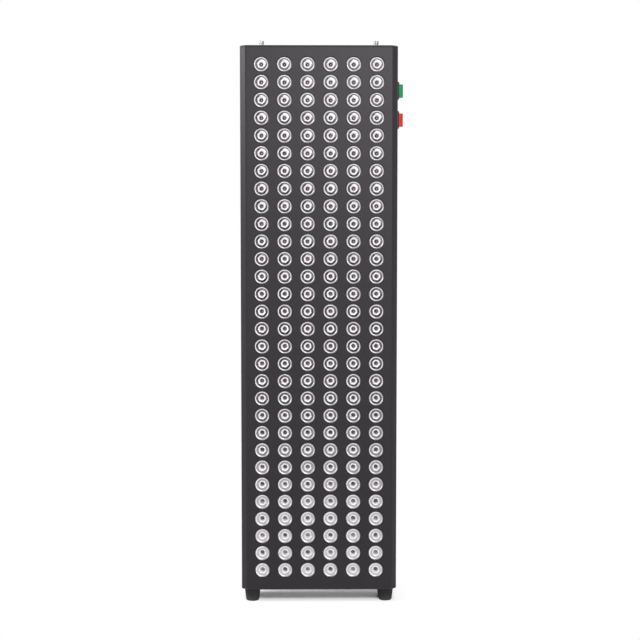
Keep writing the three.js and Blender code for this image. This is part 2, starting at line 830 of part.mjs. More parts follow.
// A lead from each switch to its driver: the red one beside the upper fan, the
// infrared one in a lane of its own nearer the heat sinks
function driverLeads() {
  const [tabX, tabY] = [bodyWidth / 2 - barrelDepth - tabLength / 2, switchY - terminalSpread];
  const tabReach = terminalSpread + tabWidth / 2 + seatGap;
  const [greenZ, redZ] = switchZs.map((z) => z - tabReach);
  const [redDriverZ, infraredDriverZ] = driverZs.map((z) => z + driverEntryShift);
  const [sideX, sideY] = [driverWidth / 2 + seatGap, fanRearY - driverDepth / 2];
  const laneX = tabX - tabLength / 2 - leadLaneGap - driverLeadRadius;
  const laneY = finRearY + leadLaneGap + driverLeadRadius;
  const red = lead("red_driver_lead", driverLeadRadius, [
    [tabX, tabY, redZ],
    [tabX, tabY, redZ - leadBend],
    [tabX, sideY, redDriverZ + 2 * leadBend],
    [sideX + leadBend, sideY, redDriverZ],
    [sideX, sideY, redDriverZ],
  ]);
  const infrared = lead("infrared_driver_lead", driverLeadRadius, [
    [tabX, tabY, greenZ],
    [tabX, tabY, greenZ - leadTurn],
    [laneX, laneY, greenZ - leadBend],
    [laneX, laneY, infraredDriverZ + leadBend],
    [sideX + leadBend, sideY, infraredDriverZ],
    [sideX, sideY, infraredDriverZ],
  ]);
  return [red, infrared];
}

// A lead from each driver's left side to the base of a heat sink, between two
// fins, where it passes through to the lamp board
function lampLead(name, z) {
  const [sideX, sideY] = [-(driverWidth / 2 + seatGap), fanRearY - driverDepth / 2];
  const clearX = driverWidth / 2 + leadTurn;
  const finsPassed = Math.ceil((clearX - firstFinX) / finPitch);
  const betweenFinsX = -(firstFinX + finsPassed * finPitch + finPitch / 2);
  const sinkRearY = sinkFrontY + sinkBase + seatGap;
  return lead(name, lampLeadRadius, [
    [sideX, sideY, z],
    [betweenFinsX, sideY, z],
    [betweenFinsX, sinkRearY, z],
  ]);
}

// Hanging stud through the top cap: threaded shank, neck and rounded head
function hangingStud(side, x) {
  const neckTop = seatGap + studNeckHeight;
  const headTop = neckTop + studHeadHeight;
  const stud = turnedZ([
    [0, -studShankLength],
    [studShankRadius, -studShankLength],
    [studShankRadius, seatGap],
    [studNeckRadius, seatGap],
    [studNeckRadius, neckTop],
    [studHeadRadius, neckTop],
    [studHeadRadius, headTop - studHeadEdge],
    [studHeadRadius - studHeadEdge, headTop],
    [0, headTop],
  ], studSides);
  const nutTop = -capThickness - seatGap;
  const washer = barZ(washerRadius, nutTop - washerThickness, nutTop, studSides);
  const nut = barZ(nutRadius, nutTop - washerThickness - nutHeight, nutTop, nutSides);
  const threadRadius = studShankRadius + studHoleClearance;
  const thread = barZ(threadRadius, -studShankLength - overrun, 0, shaftSides);
  const group = new THREE.Group();
  group.position.set(x, 0, bodyHeight);
  group.add(
    meshOf(`hanging_stud_${side}`, stud, nickel),
    meshOf(`stud_nut_${side}`, without(joined(washer, nut), thread), zincSteel),
  );
  return group;
}

// Tapered rubber foot with a rounded edge and a counterbore for its screw
function foot({ name, x, y }) {
  const top = footSeatDepth - seatGap;
  const solid = turnedZ([
    [0, footBoreDepth - footHeight],
    [footBoreRadius, footBoreDepth - footHeight],
    [footBoreRadius, -footHeight],
    [footBottomRadius - footEdge, -footHeight],
    [footBottomRadius, footEdge - footHeight],
    [footTopRadius, 0],
    [footTopRadius, top],
    [0, top],
  ], footSides);
  const mesh = meshOf(`foot_${name}`, solid, blackRubber);
  mesh.position.set(x, y, 0);
  return mesh;
}

const panel = new THREE.Group();
panel.add(frontHousing(), topCap(), bottomCap(), rearCover());

const levels = ["upper", "middle", "lower"];
levels.forEach((level, index) => {
  const zs = lampZs.slice(index * rowsPerBoard, (index + 1) * rowsPerBoard);
  const unit = new THREE.Group();
  unit.add(
    lampBoard(`lamp_board_${level}`, zs),
    heatSink(`heat_sink_${level}`, (zs[0] + zs[zs.length - 1]) / 2),
  );
  panel.add(unit);
});
panel.add(mountingRail("mounting_rail_left", -1), mountingRail("mounting_rail_right", 1));

levels.forEach((level, index) => {
  const fan = new THREE.Group();
  fan.position.set(0, fanRearY, fanZs[index]);
  fan.add(fanFrame(`fan_frame_${level}`), fanRotor(`fan_rotor_${level}`));
  panel.add(fan);
});

["red_driver", "infrared_driver"].forEach((name, index) => {
  const mesh = driver(name);
  mesh.position.set(0, fanRearY, driverZs[index]);
  panel.add(mesh);
});

panel.add(mainsInlet());
panel.add(rockerSwitch("green", greenPlastic, switchZs[0]));
panel.add(rockerSwitch("red", redPlastic, switchZs[1]));
panel.add(...supplyLeads(), ...driverLeads());
panel.add(lampLead("red_lamp_lead", driverZs[0] + driverEntryShift));
panel.add(lampLead("infrared_lamp_lead", driverZs[1] - driverEntryShift));
["left", "right"].forEach((side, index) => panel.add(hangingStud(side, studXs[index])));
footPlaces.forEach((place) => panel.add(foot(place)));

export default panel;
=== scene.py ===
"""Studio scene of a red light therapy panel that stands on four rubber feet.

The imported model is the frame: a perforated housing with 180 lamps, two rocker
switches on its right side wall, three fans inside the rear cover and two
hanging studs. Each class below builds one sub-assembly in that frame and
dresses it. Lengths are in millimetres unless a name says otherwise.
"""

import logging
import math
from abc import ABC, abstractmethod
from collections.abc import Callable, Iterator, Sequence
from contextlib import contextmanager
from dataclasses import dataclass
from enum import Enum

import bmesh
import bpy
from mathutils import Euler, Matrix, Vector


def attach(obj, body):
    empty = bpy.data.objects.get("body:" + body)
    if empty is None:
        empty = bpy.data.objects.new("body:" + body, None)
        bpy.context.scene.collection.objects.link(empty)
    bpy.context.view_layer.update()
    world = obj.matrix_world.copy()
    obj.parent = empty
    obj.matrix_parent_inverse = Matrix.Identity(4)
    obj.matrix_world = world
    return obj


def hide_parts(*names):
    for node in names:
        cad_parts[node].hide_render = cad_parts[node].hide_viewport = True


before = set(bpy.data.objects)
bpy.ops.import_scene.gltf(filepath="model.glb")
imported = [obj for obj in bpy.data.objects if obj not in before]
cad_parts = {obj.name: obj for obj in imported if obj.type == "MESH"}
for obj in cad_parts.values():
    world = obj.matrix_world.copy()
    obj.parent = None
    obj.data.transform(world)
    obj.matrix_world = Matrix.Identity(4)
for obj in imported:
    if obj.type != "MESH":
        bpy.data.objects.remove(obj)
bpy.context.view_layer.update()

LOG = logging.getLogger("panel")
MM = 0.001
HOLE_RADIUS = 12.5

# How far an end may lie off a place, and off a straight line, when edges are picked.
NEAR = 0.05
STRAIGHT = 0.01

# A screw head in shares of its radius and height: its height, its profile, and
# half the length, width (of the radius) and depth (of the height) of its recess.
HEAD_HEIGHT = 0.62
HEAD_PROFILE = ((1.0, 0.0), (1.0, 0.45), (0.8, 0.85), (0.45, 1.0))
RECESS_SHARES = (0.62, 0.14, 0.45)

# What the effects that lie on a surface take.
SURFACE_INPUTS = {"Place": "Vector", "Normal": "Vector", "Amount": "Float"}

Pair = tuple[float, float]
Point = tuple[float, float, float]
Numbers = tuple[float, ...]
Colour = tuple[float, float, float]
Profile = Sequence[Pair]
EdgeTest = Callable[[Vector, Vector], bool]
Outputs = bpy.types.bpy_prop_collection


class Facing(Enum):
    """The way in which the height of a turned shape points."""

    UP = (0.0, 0.0, 0.0)
    DOWN = (math.pi, 0.0, 0.0)
    FRONT = (math.pi / 2, 0.0, 0.0)
    REAR = (-math.pi / 2, 0.0, 0.0)
    RIGHT = (0.0, math.pi / 2, 0.0)

    @property
    def way(self) -> Vector:
        """The direction in which the height points."""
        return Vector([round(share) for share in Euler(self.value).to_matrix().col[2]])


class Axis(Enum):
    """The axes, each with its place among a point's coordinates."""

    X = 0
    Y = 1
    Z = 2


class Body(Enum):
    """The bodies that pieces ride on."""

    PANEL = "panel_body"
    GREEN_ROCKER = "green_rocker"
    RED_ROCKER = "red_rocker"
    UPPER_ROTOR = "upper_fan_rotor"
    MIDDLE_ROTOR = "middle_fan_rotor"
    LOWER_ROTOR = "lower_fan_rotor"


class Select(Enum):
    """What edit mode selects: corners, edges or faces."""

    CORNERS = (True, False, False)
    EDGES = (False, True, False)
    FACES = (False, False, True)


def clear_bench(thing: bpy.types.Object | None = None) -> None:
    """Deselects everything, and then makes one object the active one.

    Args:
        thing: the object that the next operator works on, if any
    """
    bpy.ops.object.select_all(action="DESELECT")
    if thing is not None:
        thing.select_set(True)
        bpy.context.view_layer.objects.active = thing


def metres(point: Sequence[float]) -> Vector:
    """Gives a point in metres."""
    return Vector(point) * MM


class Part:
    """One mesh on the bench, which Blender's own modelling tools shape."""

    def __init__(self, thing: bpy.types.Object) -> None:
        """Takes an object whose mesh is in place."""
        self.thing = thing

    @classmethod
    def from_active(cls, name: str) -> "Part":
        """Takes the object just added and moves its place into its mesh.

        Args:
            name: the piece's name

        Returns:
            the piece
        """
        thing = bpy.context.active_object
        thing.name = thing.data.name = name
        bpy.ops.object.transform_apply(location=True, rotation=True, scale=True)
        return cls(thing)

    @classmethod
    def block(cls, name: str, low: Point, high: Point) -> "Part":
        """Starts a piece from a block between two opposite corners.

        Args:
            name: the piece's name
            low: the corner with the lowest coordinates
            high: the corner with the highest coordinates

        Returns:
            the block, to be shaped further
        """
        clear_bench()
        size = Vector(high) - Vector(low)
        middle = (Vector(high) + Vector(low)) / 2
        bpy.ops.mesh.primitive_cube_add(size=1, location=metres(middle), scale=metres(size))
        return cls.from_active(name)

    @classmethod
    def around(cls, name: str, middle: Point, half: Point) -> "Part":
        """Starts a piece from a block round a middle.

        Args:
            name: the piece's name
            middle: the middle of the block
            half: how far the block reaches to each side of it

        Returns:
            the block, to be shaped further
        """
        low = tuple(place - reach for place, reach in zip(middle, half))
        high = tuple(place + reach for place, reach in zip(middle, half))
        return cls.block(name, low, high)

    @classmethod
    def turned(
        cls,
        name: str,
        profile: Profile,
        sides: int,
        centre: Point = (0.0, 0.0, 0.0),
        facing: Facing = Facing.UP,
        ring: bool = False,
    ) -> "Part":
        """Turns a profile, extruding a circle from step to step.

        Args:
            name: the piece's name
            profile: radius and height of each step; a last radius of 0 closes to a pole
            sides: how many sides the turned shape has
            centre: where radius 0 and height 0 lie
            facing: where the height points
            ring: whether the last step joins the first one, as on a tube

        Returns:
            the turned piece
        """
        clear_bench()
        radius, height = profile[0]
        bpy.ops.mesh.primitive_circle_add(
            vertices=sides,
            radius=radius * MM,
            fill_type="NOTHING" if ring else "NGON",
            location=(0, 0, height * MM),
            rotation=(0, 0, math.pi / sides),
        )
        part = cls.from_active(name)
        steps = list(profile[1:]) + ([profile[0]] if ring else [])
        with part.shaping(Select.EDGES if ring else Select.FACES):
            bpy.ops.mesh.select_all(action="SELECT")
            for next_radius, next_height in steps:
                rise = {"value": (0, 0, (next_height - height) * MM)}
                if ring:
                    bpy.ops.mesh.extrude_edges_move(TRANSFORM_OT_translate=rise)
                else:
                    bpy.ops.mesh.extrude_region_move(TRANSFORM_OT_translate=rise)
                if next_radius == 0:
                    bpy.ops.mesh.merge(type="CENTER")
                else:
                    share = next_radius / radius
                    bpy.ops.transform.resize(
                        value=(share, share, 1), center_override=(0, 0, next_height * MM)
                    )
                radius, height = next_radius, next_height
            part.tidy()
        part.thing.rotation_euler = facing.value
        part.thing.location = metres(centre)
        clear_bench(part.thing)
        bpy.ops.object.transform_apply(location=True, rotation=True, scale=True)
        return part

    @classmethod
    def from_node(cls, name: str, node: str) -> "Part":
        """Starts a piece from a copy of a CAD node, merged and with whole flat faces.

        Args:
            name: the piece's name
            node: the CAD node that is copied

        Returns:
            the copy
        """
        thing = bpy.data.objects.new(name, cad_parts[node].data.copy())
        bpy.context.scene.collection.objects.link(thing)
        part = cls(thing)
        clear_bench(thing)
        bpy.ops.mesh.customdata_custom_splitnormals_clear()
        with part.shaping(Select.CORNERS):
            bpy.ops.mesh.select_all(action="SELECT")
            bpy.ops.mesh.remove_doubles(threshold=0.01 * MM)
            bpy.ops.mesh.dissolve_limited(angle_limit=math.radians(1))
        return part

    @contextmanager
    def shaping(self, select: Select = Select.FACES) -> Iterator[None]:
        """Opens edit mode with nothing selected, and closes it again.

        Args:
            select: what the selection picks

        Returns:
            a context in which the piece is shaped
        """
        clear_bench(self.thing)
        bpy.ops.object.mode_set(mode="EDIT")
        bpy.context.tool_settings.mesh_select_mode = select.value
        bpy.ops.mesh.select_all(action="DESELECT")
        yield
        bpy.ops.object.mode_set(mode="OBJECT")

    def pick(self, kind: Select, test: Callable[..., bool]) -> None:
        """Selects the corners, edges or faces that pass a test, in edit mode.

        Args:
            kind: what is tested
            test: gets a corner's place, an edge's two ends or a face's middle
        """
        bpy.ops.mesh.select_all(action="DESELECT")
        mesh = bmesh.from_edit_mesh(self.thing.data)
        if kind is Select.FACES:
            tried = [(face, [face.calc_center_median()]) for face in mesh.faces]
        elif kind is Select.EDGES:
            tried = [(edge, [corner.co for corner in edge.verts]) for edge in mesh.edges]
        else:
            tried = [(corner, [corner.co]) for corner in mesh.verts]
        for element, places in tried:
            if test(*(place / MM for place in places)):
                element.select_set(True)
        if kind is Select.CORNERS:
            mesh.select_flush(True)
        bmesh.update_edit_mesh(self.thing.data)

    def tidy(self) -> None:
        """Merges doubled corners and turns all faces outwards, in edit mode."""
        bpy.ops.mesh.select_all(action="SELECT")
        bpy.ops.mesh.remove_doubles(threshold=0.002 * MM)
        bpy.ops.mesh.normals_make_consistent(inside=False)

    def round_edges(self, test: EdgeTest, radius: float, segments: int = 3) -> "Part":
        """Rounds the edges whose two ends pass a test.

        Args:
            test: which edges are rounded
            radius: the width of the rounding
            segments: how many faces it has

        Returns:
            this piece
        """
        with self.shaping(Select.EDGES):
            self.pick(Select.EDGES, test)
            bpy.ops.mesh.bevel(
                offset=radius * MM, segments=segments, affect="EDGES", clamp_overlap=True
            )
        return self

    def extrude(self, test: EdgeTest, *moves: Point) -> None:
        """Draws new faces out of the edges that pass a test.

        Args:
            test: which edges are drawn out
            moves: how far the edges go each time
        """
        with self.shaping(Select.EDGES):
            self.pick(Select.EDGES, test)
            for move in moves:
                bpy.ops.mesh.extrude_edges_move(TRANSFORM_OT_translate={"value": metres(move)})

    def soften(self, radius: float, segments: int = 2, angle: float = 40.0) -> "Part":
        """Rounds every edge sharper than an angle.

        Args:
            radius: the width of the rounding
            segments: how many faces it has
            angle: the angle in degrees

        Returns:
            this piece
        """
        return self.modify(
            "BEVEL",
            width=radius * MM,
            segments=segments,
            limit_method="ANGLE",
            angle_limit=math.radians(angle),
            use_clamp_overlap=True,
        )

    def bisect(self, point: Point, outward: Point) -> "Part":
        """Cuts off what lies beyond a plane and closes the cut.

        Args:
            point: a point of the plane
            outward: the plane's normal, which points to what goes

        Returns:
            this piece
        """
        with self.shaping():
            bpy.ops.mesh.select_all(action="SELECT")
            bpy.ops.mesh.bisect(
                plane_co=metres(point), plane_no=outward, use_fill=True, clear_outer=True
            )
        return self

    def turn(self, degrees: float, axis: Axis, centre: Point) -> "Part":
        """Turns the whole piece about an axis through a point.

        Args:
            degrees: how far it turns
            axis: the axis
            centre: the point

        Returns:
            this piece
        """
        with self.shaping():
            bpy.ops.mesh.select_all(action="SELECT")
            bpy.ops.transform.rotate(
                value=-math.radians(degrees), orient_axis=axis.name, center_override=metres(centre)
            )
        return self

    def modify(self, kind: str, **settings: object) -> "Part":
        """Adds a modifier with its settings and applies it.

        Args:
            kind: the modifier's type
            settings: the modifier's values by name

        Returns:
            this piece
        """
        clear_bench(self.thing)
        modifier = self.thing.modifiers.new(kind.title(), kind)
        for name, value in settings.items():
            setattr(modifier, name, value)
        bpy.ops.object.modifier_apply(modifier=modifier.name)
        return self

    def thicken(self, thickness: float) -> "Part":
        """Gives a sheet its thickness behind its outer side."""
        return self.modify("SOLIDIFY", thickness=thickness * MM, offset=-1, use_even_offset=True)

    def repeat(self, count: int, step: Point) -> "Part":
        """Repeats the piece in a row, joined where the copies touch.

        Args:
            count: how many there are in the end
            step: from one to the next

        Returns:
            this piece
        """
        return self.modify(
            "ARRAY",
            count=count,
            use_relative_offset=False,
            use_constant_offset=True,
            constant_offset_displace=metres(step),
            use_merge_vertices=True,
            merge_threshold=0.01 * MM,
        )

    def cut(self, tool: "Part") -> "Part":
        """Cuts another piece out of this one and puts that one away.

        Args:
            tool: the other piece

        Returns:
            this piece
        """
        self.modify("BOOLEAN", operation="DIFFERENCE", solver="EXACT", object=tool.thing)
        bpy.data.objects.remove(tool.thing)
        return self

    def join(self, *others: "Part") -> "Part":
        """Joins other pieces into this one's mesh.

        Args:
            others: the other pieces

        Returns:
            this piece
        """
        clear_bench(self.thing)
        for other in others:
            other.thing.select_set(True)
        bpy.ops.object.join()
        return self

    def copy(self, name: str, shift: Point) -> "Part":
        """Copies the piece, mesh and all, to another place.

        Args:
            name: the copy's name
            shift: how far the copy is from this piece

        Returns:
            the copy
        """
        clear_bench(self.thing)
        bpy.ops.object.duplicate()
        bpy.context.active_object.location = metres(shift)
        return Part.from_active(name)

    def finish(
        self,
        slot: str,
        material: bpy.types.Material,
        body: Body = Body.PANEL,
        stands_for: Sequence[str] = (),
        smooth: float = 30.0,
    ) -> "Part":
        """Dresses the piece and hangs it on its body.

        Args:
            slot: not used
            material: the finish it gets
            body: the body it rides on
            stands_for: the CAD nodes that it is shown in place of
            smooth: edges flatter than this many degrees are shaded smooth

        Returns:
            this piece
        """
        clear_bench(self.thing)
        bpy.ops.object.shade_smooth_by_angle(angle=math.radians(smooth))
        self.modify("WEIGHTED_NORMAL", keep_sharp=True)
        self.thing.data.materials.clear()
        self.thing.data.materials.append(material)
        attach(self.thing, body.value)
        if stands_for:
            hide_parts(*stands_for)
        LOG.info("%s: %d faces", self.thing.name, len(self.thing.data.polygons))
        return self


class Wiring:
    """A node tree that is being wired, of a material or of a shared effect."""

    def __init__(self, tree: bpy.types.NodeTree) -> None:
        """Takes the tree that new nodes go into."""
        self.tree = tree

    def node(self, kind: str, inputs: dict | None = None, **settings: object) -> bpy.types.Node:
        """Adds a node.

        Args:
            kind: the node's type, without the ShaderNode in front
            inputs: sockets or plain values by the name or number of the node's input
            settings: the node's own settings by name

        Returns:
            the node
        """
        node = self.tree.nodes.new(f"ShaderNode{kind}")
        for name, value in settings.items():
            setattr(node, name, value)
        for key, value in (inputs or {}).items():
            self.feed(node.inputs[key], value)
        return node

    def feed(self, socket: bpy.types.NodeSocket, value: object) -> None:
        """Links a socket to another one, or gives it a plain value.

        Args:
            socket: the input that is fed
            value: the output or the value that it gets
        """
        if isinstance(value, bpy.types.NodeSocket):
            self.tree.links.new(value, socket)
        else:
            socket.default_value = value

    def math(self, operation: str, *values: object, clamp: bool = False) -> bpy.types.NodeSocket:
        """Works out a number from numbers or sockets."""
        inputs = dict(enumerate(values))
        return self.node("Math", inputs, operation=operation, use_clamp=clamp).outputs[0]

    def product(self, first: object, *others: object) -> object:
        """Multiplies several numbers.

        Args:
            first: the first number or socket
            others: the other ones

        Returns:
            the product
        """
        for other in others:
            first = self.math("MULTIPLY", first, other)
        return first

    def mix(self, share: object, first: object, second: object) -> bpy.types.NodeSocket:
        """Mixes two colours.

        Args:
            share: how much of the second colour shows, from 0 to 1
            first: the first colour
            second: the second colour

        Returns:
            the mixed colour
        """
        node = self.node("Mix", data_type="RGBA")
        for key, value in ((0, share), (6, first), (7, second)):
            if key and not isinstance(value, bpy.types.NodeSocket):
                value = (*value, 1.0)
            self.feed(node.inputs[key], value)
        return node.outputs[2]

    def ramp(self, value: object, *stops: Pair) -> bpy.types.NodeSocket:
        """Turns a number into another along a line through some points.

        Args:
            value: the number, from 0 to 1
            stops: pairs of a place from 0 to 1 and the value there

        Returns:
            the new number
        """
        node = self.node("ValToRGB", {0: value})
        elements = node.color_ramp.elements
        while len(elements) < len(stops):
            elements.new(0.5)
        for element, (place, level) in zip(elements, stops):
            element.position = place
            element.color = (level, level, level, 1.0)
        return node.outputs[0]

    def noise(
        self, vector: object, scale: object, detail: float = 2.0, roughness: float = 0.5
    ) -> bpy.types.NodeSocket:
        """Gives a cloudy pattern with some features to the metre."""
        inputs = {"Vector": vector, "Scale": scale, "Detail": detail, "Roughness": roughness}
        return self.node("TexNoise", inputs).outputs[0]

    def effect(self, group: bpy.types.NodeTree, **inputs: object) -> Outputs:
        """Places a shared effect with this tree's values for it, and gives its outputs."""
        return self.node("Group", inputs, node_tree=group).outputs


class Effect(Wiring):
    """A shared effect that is being wired as a node group."""

    def __init__(self, name: str, inputs: dict[str, str], outputs: Sequence[str]) -> None:
        """Starts the effect.

        Args:
            name: the effect's name
            inputs: the kind of each input, by its name
            outputs: the name of each output, all of them numbers
        """
        super().__init__(bpy.data.node_groups.new(name, "ShaderNodeTree"))
        for socket, kind in inputs.items():
            self.tree.interface.new_socket(
                socket, in_out="INPUT", socket_type=f"NodeSocket{kind}"
            )
        for socket in outputs:
            self.tree.interface.new_socket(
                socket, in_out="OUTPUT", socket_type="NodeSocketFloat"
            )
        self.given = self.tree.nodes.new("NodeGroupInput").outputs
        self.results = self.tree.nodes.new("NodeGroupOutput").inputs

    def done(self, **results: object) -> bpy.types.NodeTree:
        """Feeds the effect's outputs.

        Args:
            results: the number that each output puts out, by its name

        Returns:
            the finished group
        """
        for name, value in results.items():
            self.feed(self.results[name], value)
        return self.tree


def grain_effect() -> bpy.types.NodeTree:
    """Builds the fine grain of coated and moulded surfaces.

    Returns:
        a group that gives the grain's height, and slower cloudy patches
    """
    effect = Effect("surface_grain", {"Place": "Vector", "Scale": "Float"}, ("Height", "Patches"))
    place, scale = effect.given["Place"], effect.given["Scale"]
    fine = effect.noise(place, scale, detail=3.0, roughness=0.6)
    inputs = {"Vector": place, "Scale": effect.math("MULTIPLY", scale, 0.6)}
    pits = effect.node("TexVoronoi", inputs, feature="SMOOTH_F1").outputs[0]
    height = effect.math("MULTIPLY", effect.math("MULTIPLY_ADD", fine, 0.6, pits), 0.6)
    return effect.done(Height=height, Patches=effect.noise(place, 14.0, detail=4.0, roughness=0.6))


def wear_and_edge_shading_effect() -> bpy.types.NodeTree:
    """Builds the mask of outer edges, for scuffs and for painted edge shading.

    Returns:
        a group that gives where an edge is scuffed and carries painted edge shading: a painted
        highlight on the powder coat and painted shade on the rocker caps
    """
    effect = Effect("edge_wear", SURFACE_INPUTS, ("Mask",))
    place, normal, amount = (effect.given[name] for name in SURFACE_INPUTS)
    # Painted edge shading: every rounded edge is marked, broken up by a cloud, for scuffs and for
    # painted highlight and shade.
    rounded = effect.node("Bevel", {"Radius": 0.8 * MM}, samples=4).outputs[0]
    across = {0: rounded, 1: normal}
    turned = effect.node("VectorMath", across, operation="DOT_PRODUCT").outputs["Value"]
    edge = effect.ramp(effect.math("SUBTRACT", 1.0, turned), (0.01, 0.0), (0.12, 1.0))
    cloud = effect.noise(place, 90.0, detail=4.0, roughness=0.65)
    breaks = effect.ramp(cloud, (0.42, 0.0), (0.7, 1.0))
    return effect.done(Mask=effect.product(edge, breaks, amount))


def dust_effect() -> bpy.types.NodeTree:
    """Builds the thin dust that lies on faces that point upwards.

    Returns:
        a group that gives how much dust lies on each place
    """
    effect = Effect("thin_dust", SURFACE_INPUTS, ("Mask",))
    place, normal, amount = (effect.given[name] for name in SURFACE_INPUTS)
    height = effect.node("SeparateXYZ", {0: normal}).outputs["Z"]
    upward = effect.math("MULTIPLY_ADD", height, 0.8, 0.2, clamp=True)
    cloud = effect.noise(place, 240.0, detail=6.0, roughness=0.7)
    specks = effect.ramp(cloud, (0.4, 0.2), (0.75, 1.0))
    return effect.done(Mask=effect.product(upward, specks, amount))


def brushed_effect() -> bpy.types.NodeTree:
    """Builds drawn or turned lines on metal.

    Returns:
        a group that gives the lines' height; its Stretch draws them out per axis
    """
    effect = Effect("drawn_lines", {"Place": "Vector", "Stretch": "Vector"}, ("Height",))
    inputs = {0: effect.given["Place"], 1: effect.given["Stretch"]}
    drawn = effect.node("VectorMath", inputs, operation="MULTIPLY").outputs[0]
    lines = effect.noise(drawn, 1.0, detail=3.0, roughness=0.7)
    return effect.done(Height=lines)


@dataclass(frozen=True)
class LampGrid:
    """The grid that the lamps and the holes in the face share."""

    columns: int = 6
    rows: int = 30
    across: float = 38.0
    up: float = 29.0
    lowest: float = 33.8
    boards: int = 3

    def first(self, board: int) -> Pair:
        """Gives the place of a board's lower left lamp.

        Args:
            board: the board's number, counted from the top

        Returns:
            its x and z
        """
        per_board = self.rows // self.boards
        x = -(self.columns - 1) / 2 * self.across
        return x, self.lowest + self.up * per_board * (self.boards - 1 - board)


def lamp_cell_effect(grid: LampGrid) -> bpy.types.NodeTree:
    """Builds the coordinates inside each lamp's cell of the grid.

    Args:
        grid: the lamp grid

    Returns:
        a group that gives the distance from the lamp's axis, the direction
        round it, the lamp's own chance number, its kind (0 or 1), and how high
        up the panel it is (0 to 1)
    """
    names = ("Radius", "Turn", "Chance", "Kind", "Share")
    effect = Effect("lamp_cell", {"Place": "Vector"}, names)
    split = effect.node("SeparateXYZ", {0: effect.given["Place"]}).outputs
    cells, offsets = [], []
    starts = (-grid.columns / 2 * grid.across, grid.lowest - grid.up / 2)
    for axis, pitch, first in zip("XZ", (grid.across, grid.up), starts):
        cell = effect.math("MULTIPLY_ADD", split[axis], 1 / (pitch * MM), -first / pitch)
        inside = effect.math("SUBTRACT", effect.math("FRACT", cell), 0.5)
        cells.append(effect.math("FLOOR", cell))
        offsets.append(effect.math("MULTIPLY", inside, pitch))
    squares = [effect.math("MULTIPLY", offset, offset) for offset in offsets]
    seeds = effect.node("CombineXYZ", {0: cells[0], 1: cells[1]}).outputs[0]
    return effect.done(
        Radius=effect.math("SQRT", effect.math("ADD", *squares)),
        Turn=effect.math("ARCTAN2", offsets[1], offsets[0]),
        Chance=effect.node("TexWhiteNoise", {"Vector": seeds}).outputs["Value"],
        Kind=effect.math("MODULO", effect.math("ADD", *cells), 2.0),
        Share=effect.math("DIVIDE", cells[1], float(grid.rows - 1)),
    )


@dataclass(frozen=True)
class Effects:
    """The effects that several finishes share, each built once."""

    grain: bpy.types.NodeTree
    wear_and_edge_shading: bpy.types.NodeTree
    dust: bpy.types.NodeTree
    brushed: bpy.types.NodeTree
    lamp_cell: bpy.types.NodeTree


class Look(Wiring):
    """A material that is being wired, with its shader and the shared effects."""

    def __init__(self, name: str, effects: Effects | None = None) -> None:
        """Starts the material.

        Args:
            name: the material's name
            effects: the effects that it can use
        """
        self.material = bpy.data.materials.new(name)
        self.material.use_nodes = True
        super().__init__(self.material.node_tree)
        self.shader = self.tree.nodes["Principled BSDF"]
        self.place = self.node("TexCoord").outputs["Object"]
        self.effects = effects

    def constants(self, **values: float) -> None:
        """Gives the shader plain values, by their names with underscores for spaces."""
        for name, value in values.items():
            self.shader.inputs[name.replace("_", " ")].default_value = value

    def colour(self, value: bpy.types.NodeSocket) -> None:
        """Gives the shader its colour."""
        self.feed(self.shader.inputs["Base Color"], value)

    def rough(self, pattern: bpy.types.NodeSocket, *stops: Pair) -> None:
        """Gives the shader a roughness that follows a pattern along a line."""
        self.feed(self.shader.inputs["Roughness"], self.ramp(pattern, *stops))

    def relief(self, height: bpy.types.NodeSocket, depth: float, strength: float) -> None:
        """Gives the shader small relief that follows a pattern, with a depth in mm."""
        node = self.node("Bump", {"Height": height, "Distance": depth * MM, "Strength": strength})
        self.feed(self.shader.inputs["Normal"], node.outputs[0])

    def grain(self, scale: float) -> Outputs:
        """Places the grain effect with some features to the metre."""
        return self.effect(self.effects.grain, Place=self.place, Scale=scale)

    def cell(self) -> Outputs:
        """Places the lamp cell effect."""
        return self.effect(self.effects.lamp_cell, Place=self.place)

    def mask(self, group: bpy.types.NodeTree, amount: float) -> bpy.types.NodeSocket:
        """Places the edge shading and scuff effect, or the dust effect, and gives where it shows.
        """
        normal = self.node("NewGeometry").outputs["Normal"]
        return self.effect(group, Place=self.place, Normal=normal, Amount=amount)["Mask"]

    def aside(self, cell: Outputs, turn: float) -> bpy.types.NodeSocket:
        """Gives 1 on the side of a lamp that lies at minus an angle, and -1 opposite."""
        return self.math("COSINE", self.math("ADD", cell["Turn"], turn))

    def flow_round(self, cell: Outputs, bends: float, seed: float) -> bpy.types.NodeSocket:
        """Gives a pattern that runs round each lamp and differs from lamp to lamp.

        Args:
            cell: the outputs of the lamp cell effect
            bends: how often the pattern changes round the lamp
            seed: which of many patterns it is

        Returns:
            the pattern, from 0 to 1
        """
        ways = [self.math(name, cell["Turn"]) for name in ("COSINE", "SINE")]
        place = [self.math("MULTIPLY", way, bends) for way in ways]
        place.append(self.math("MULTIPLY", cell["Chance"], seed))
        joined = self.node("CombineXYZ", dict(enumerate(place))).outputs[0]
        return self.noise(joined, 1.0)


@dataclass(frozen=True)
class Finish(ABC):
    """What all finishes share: each one wires a material."""

    @abstractmethod
    def wire(self, look: Look) -> None:
        """Wires the finish into a new material."""

    def material(self, name: str, effects: Effects) -> bpy.types.Material:
        """Makes the material.

        Args:
            name: the material's name
            effects: the effects that finishes share

        Returns:
            the material
        """
        look = Look(name, effects)
        self.wire(look)
        return look.material


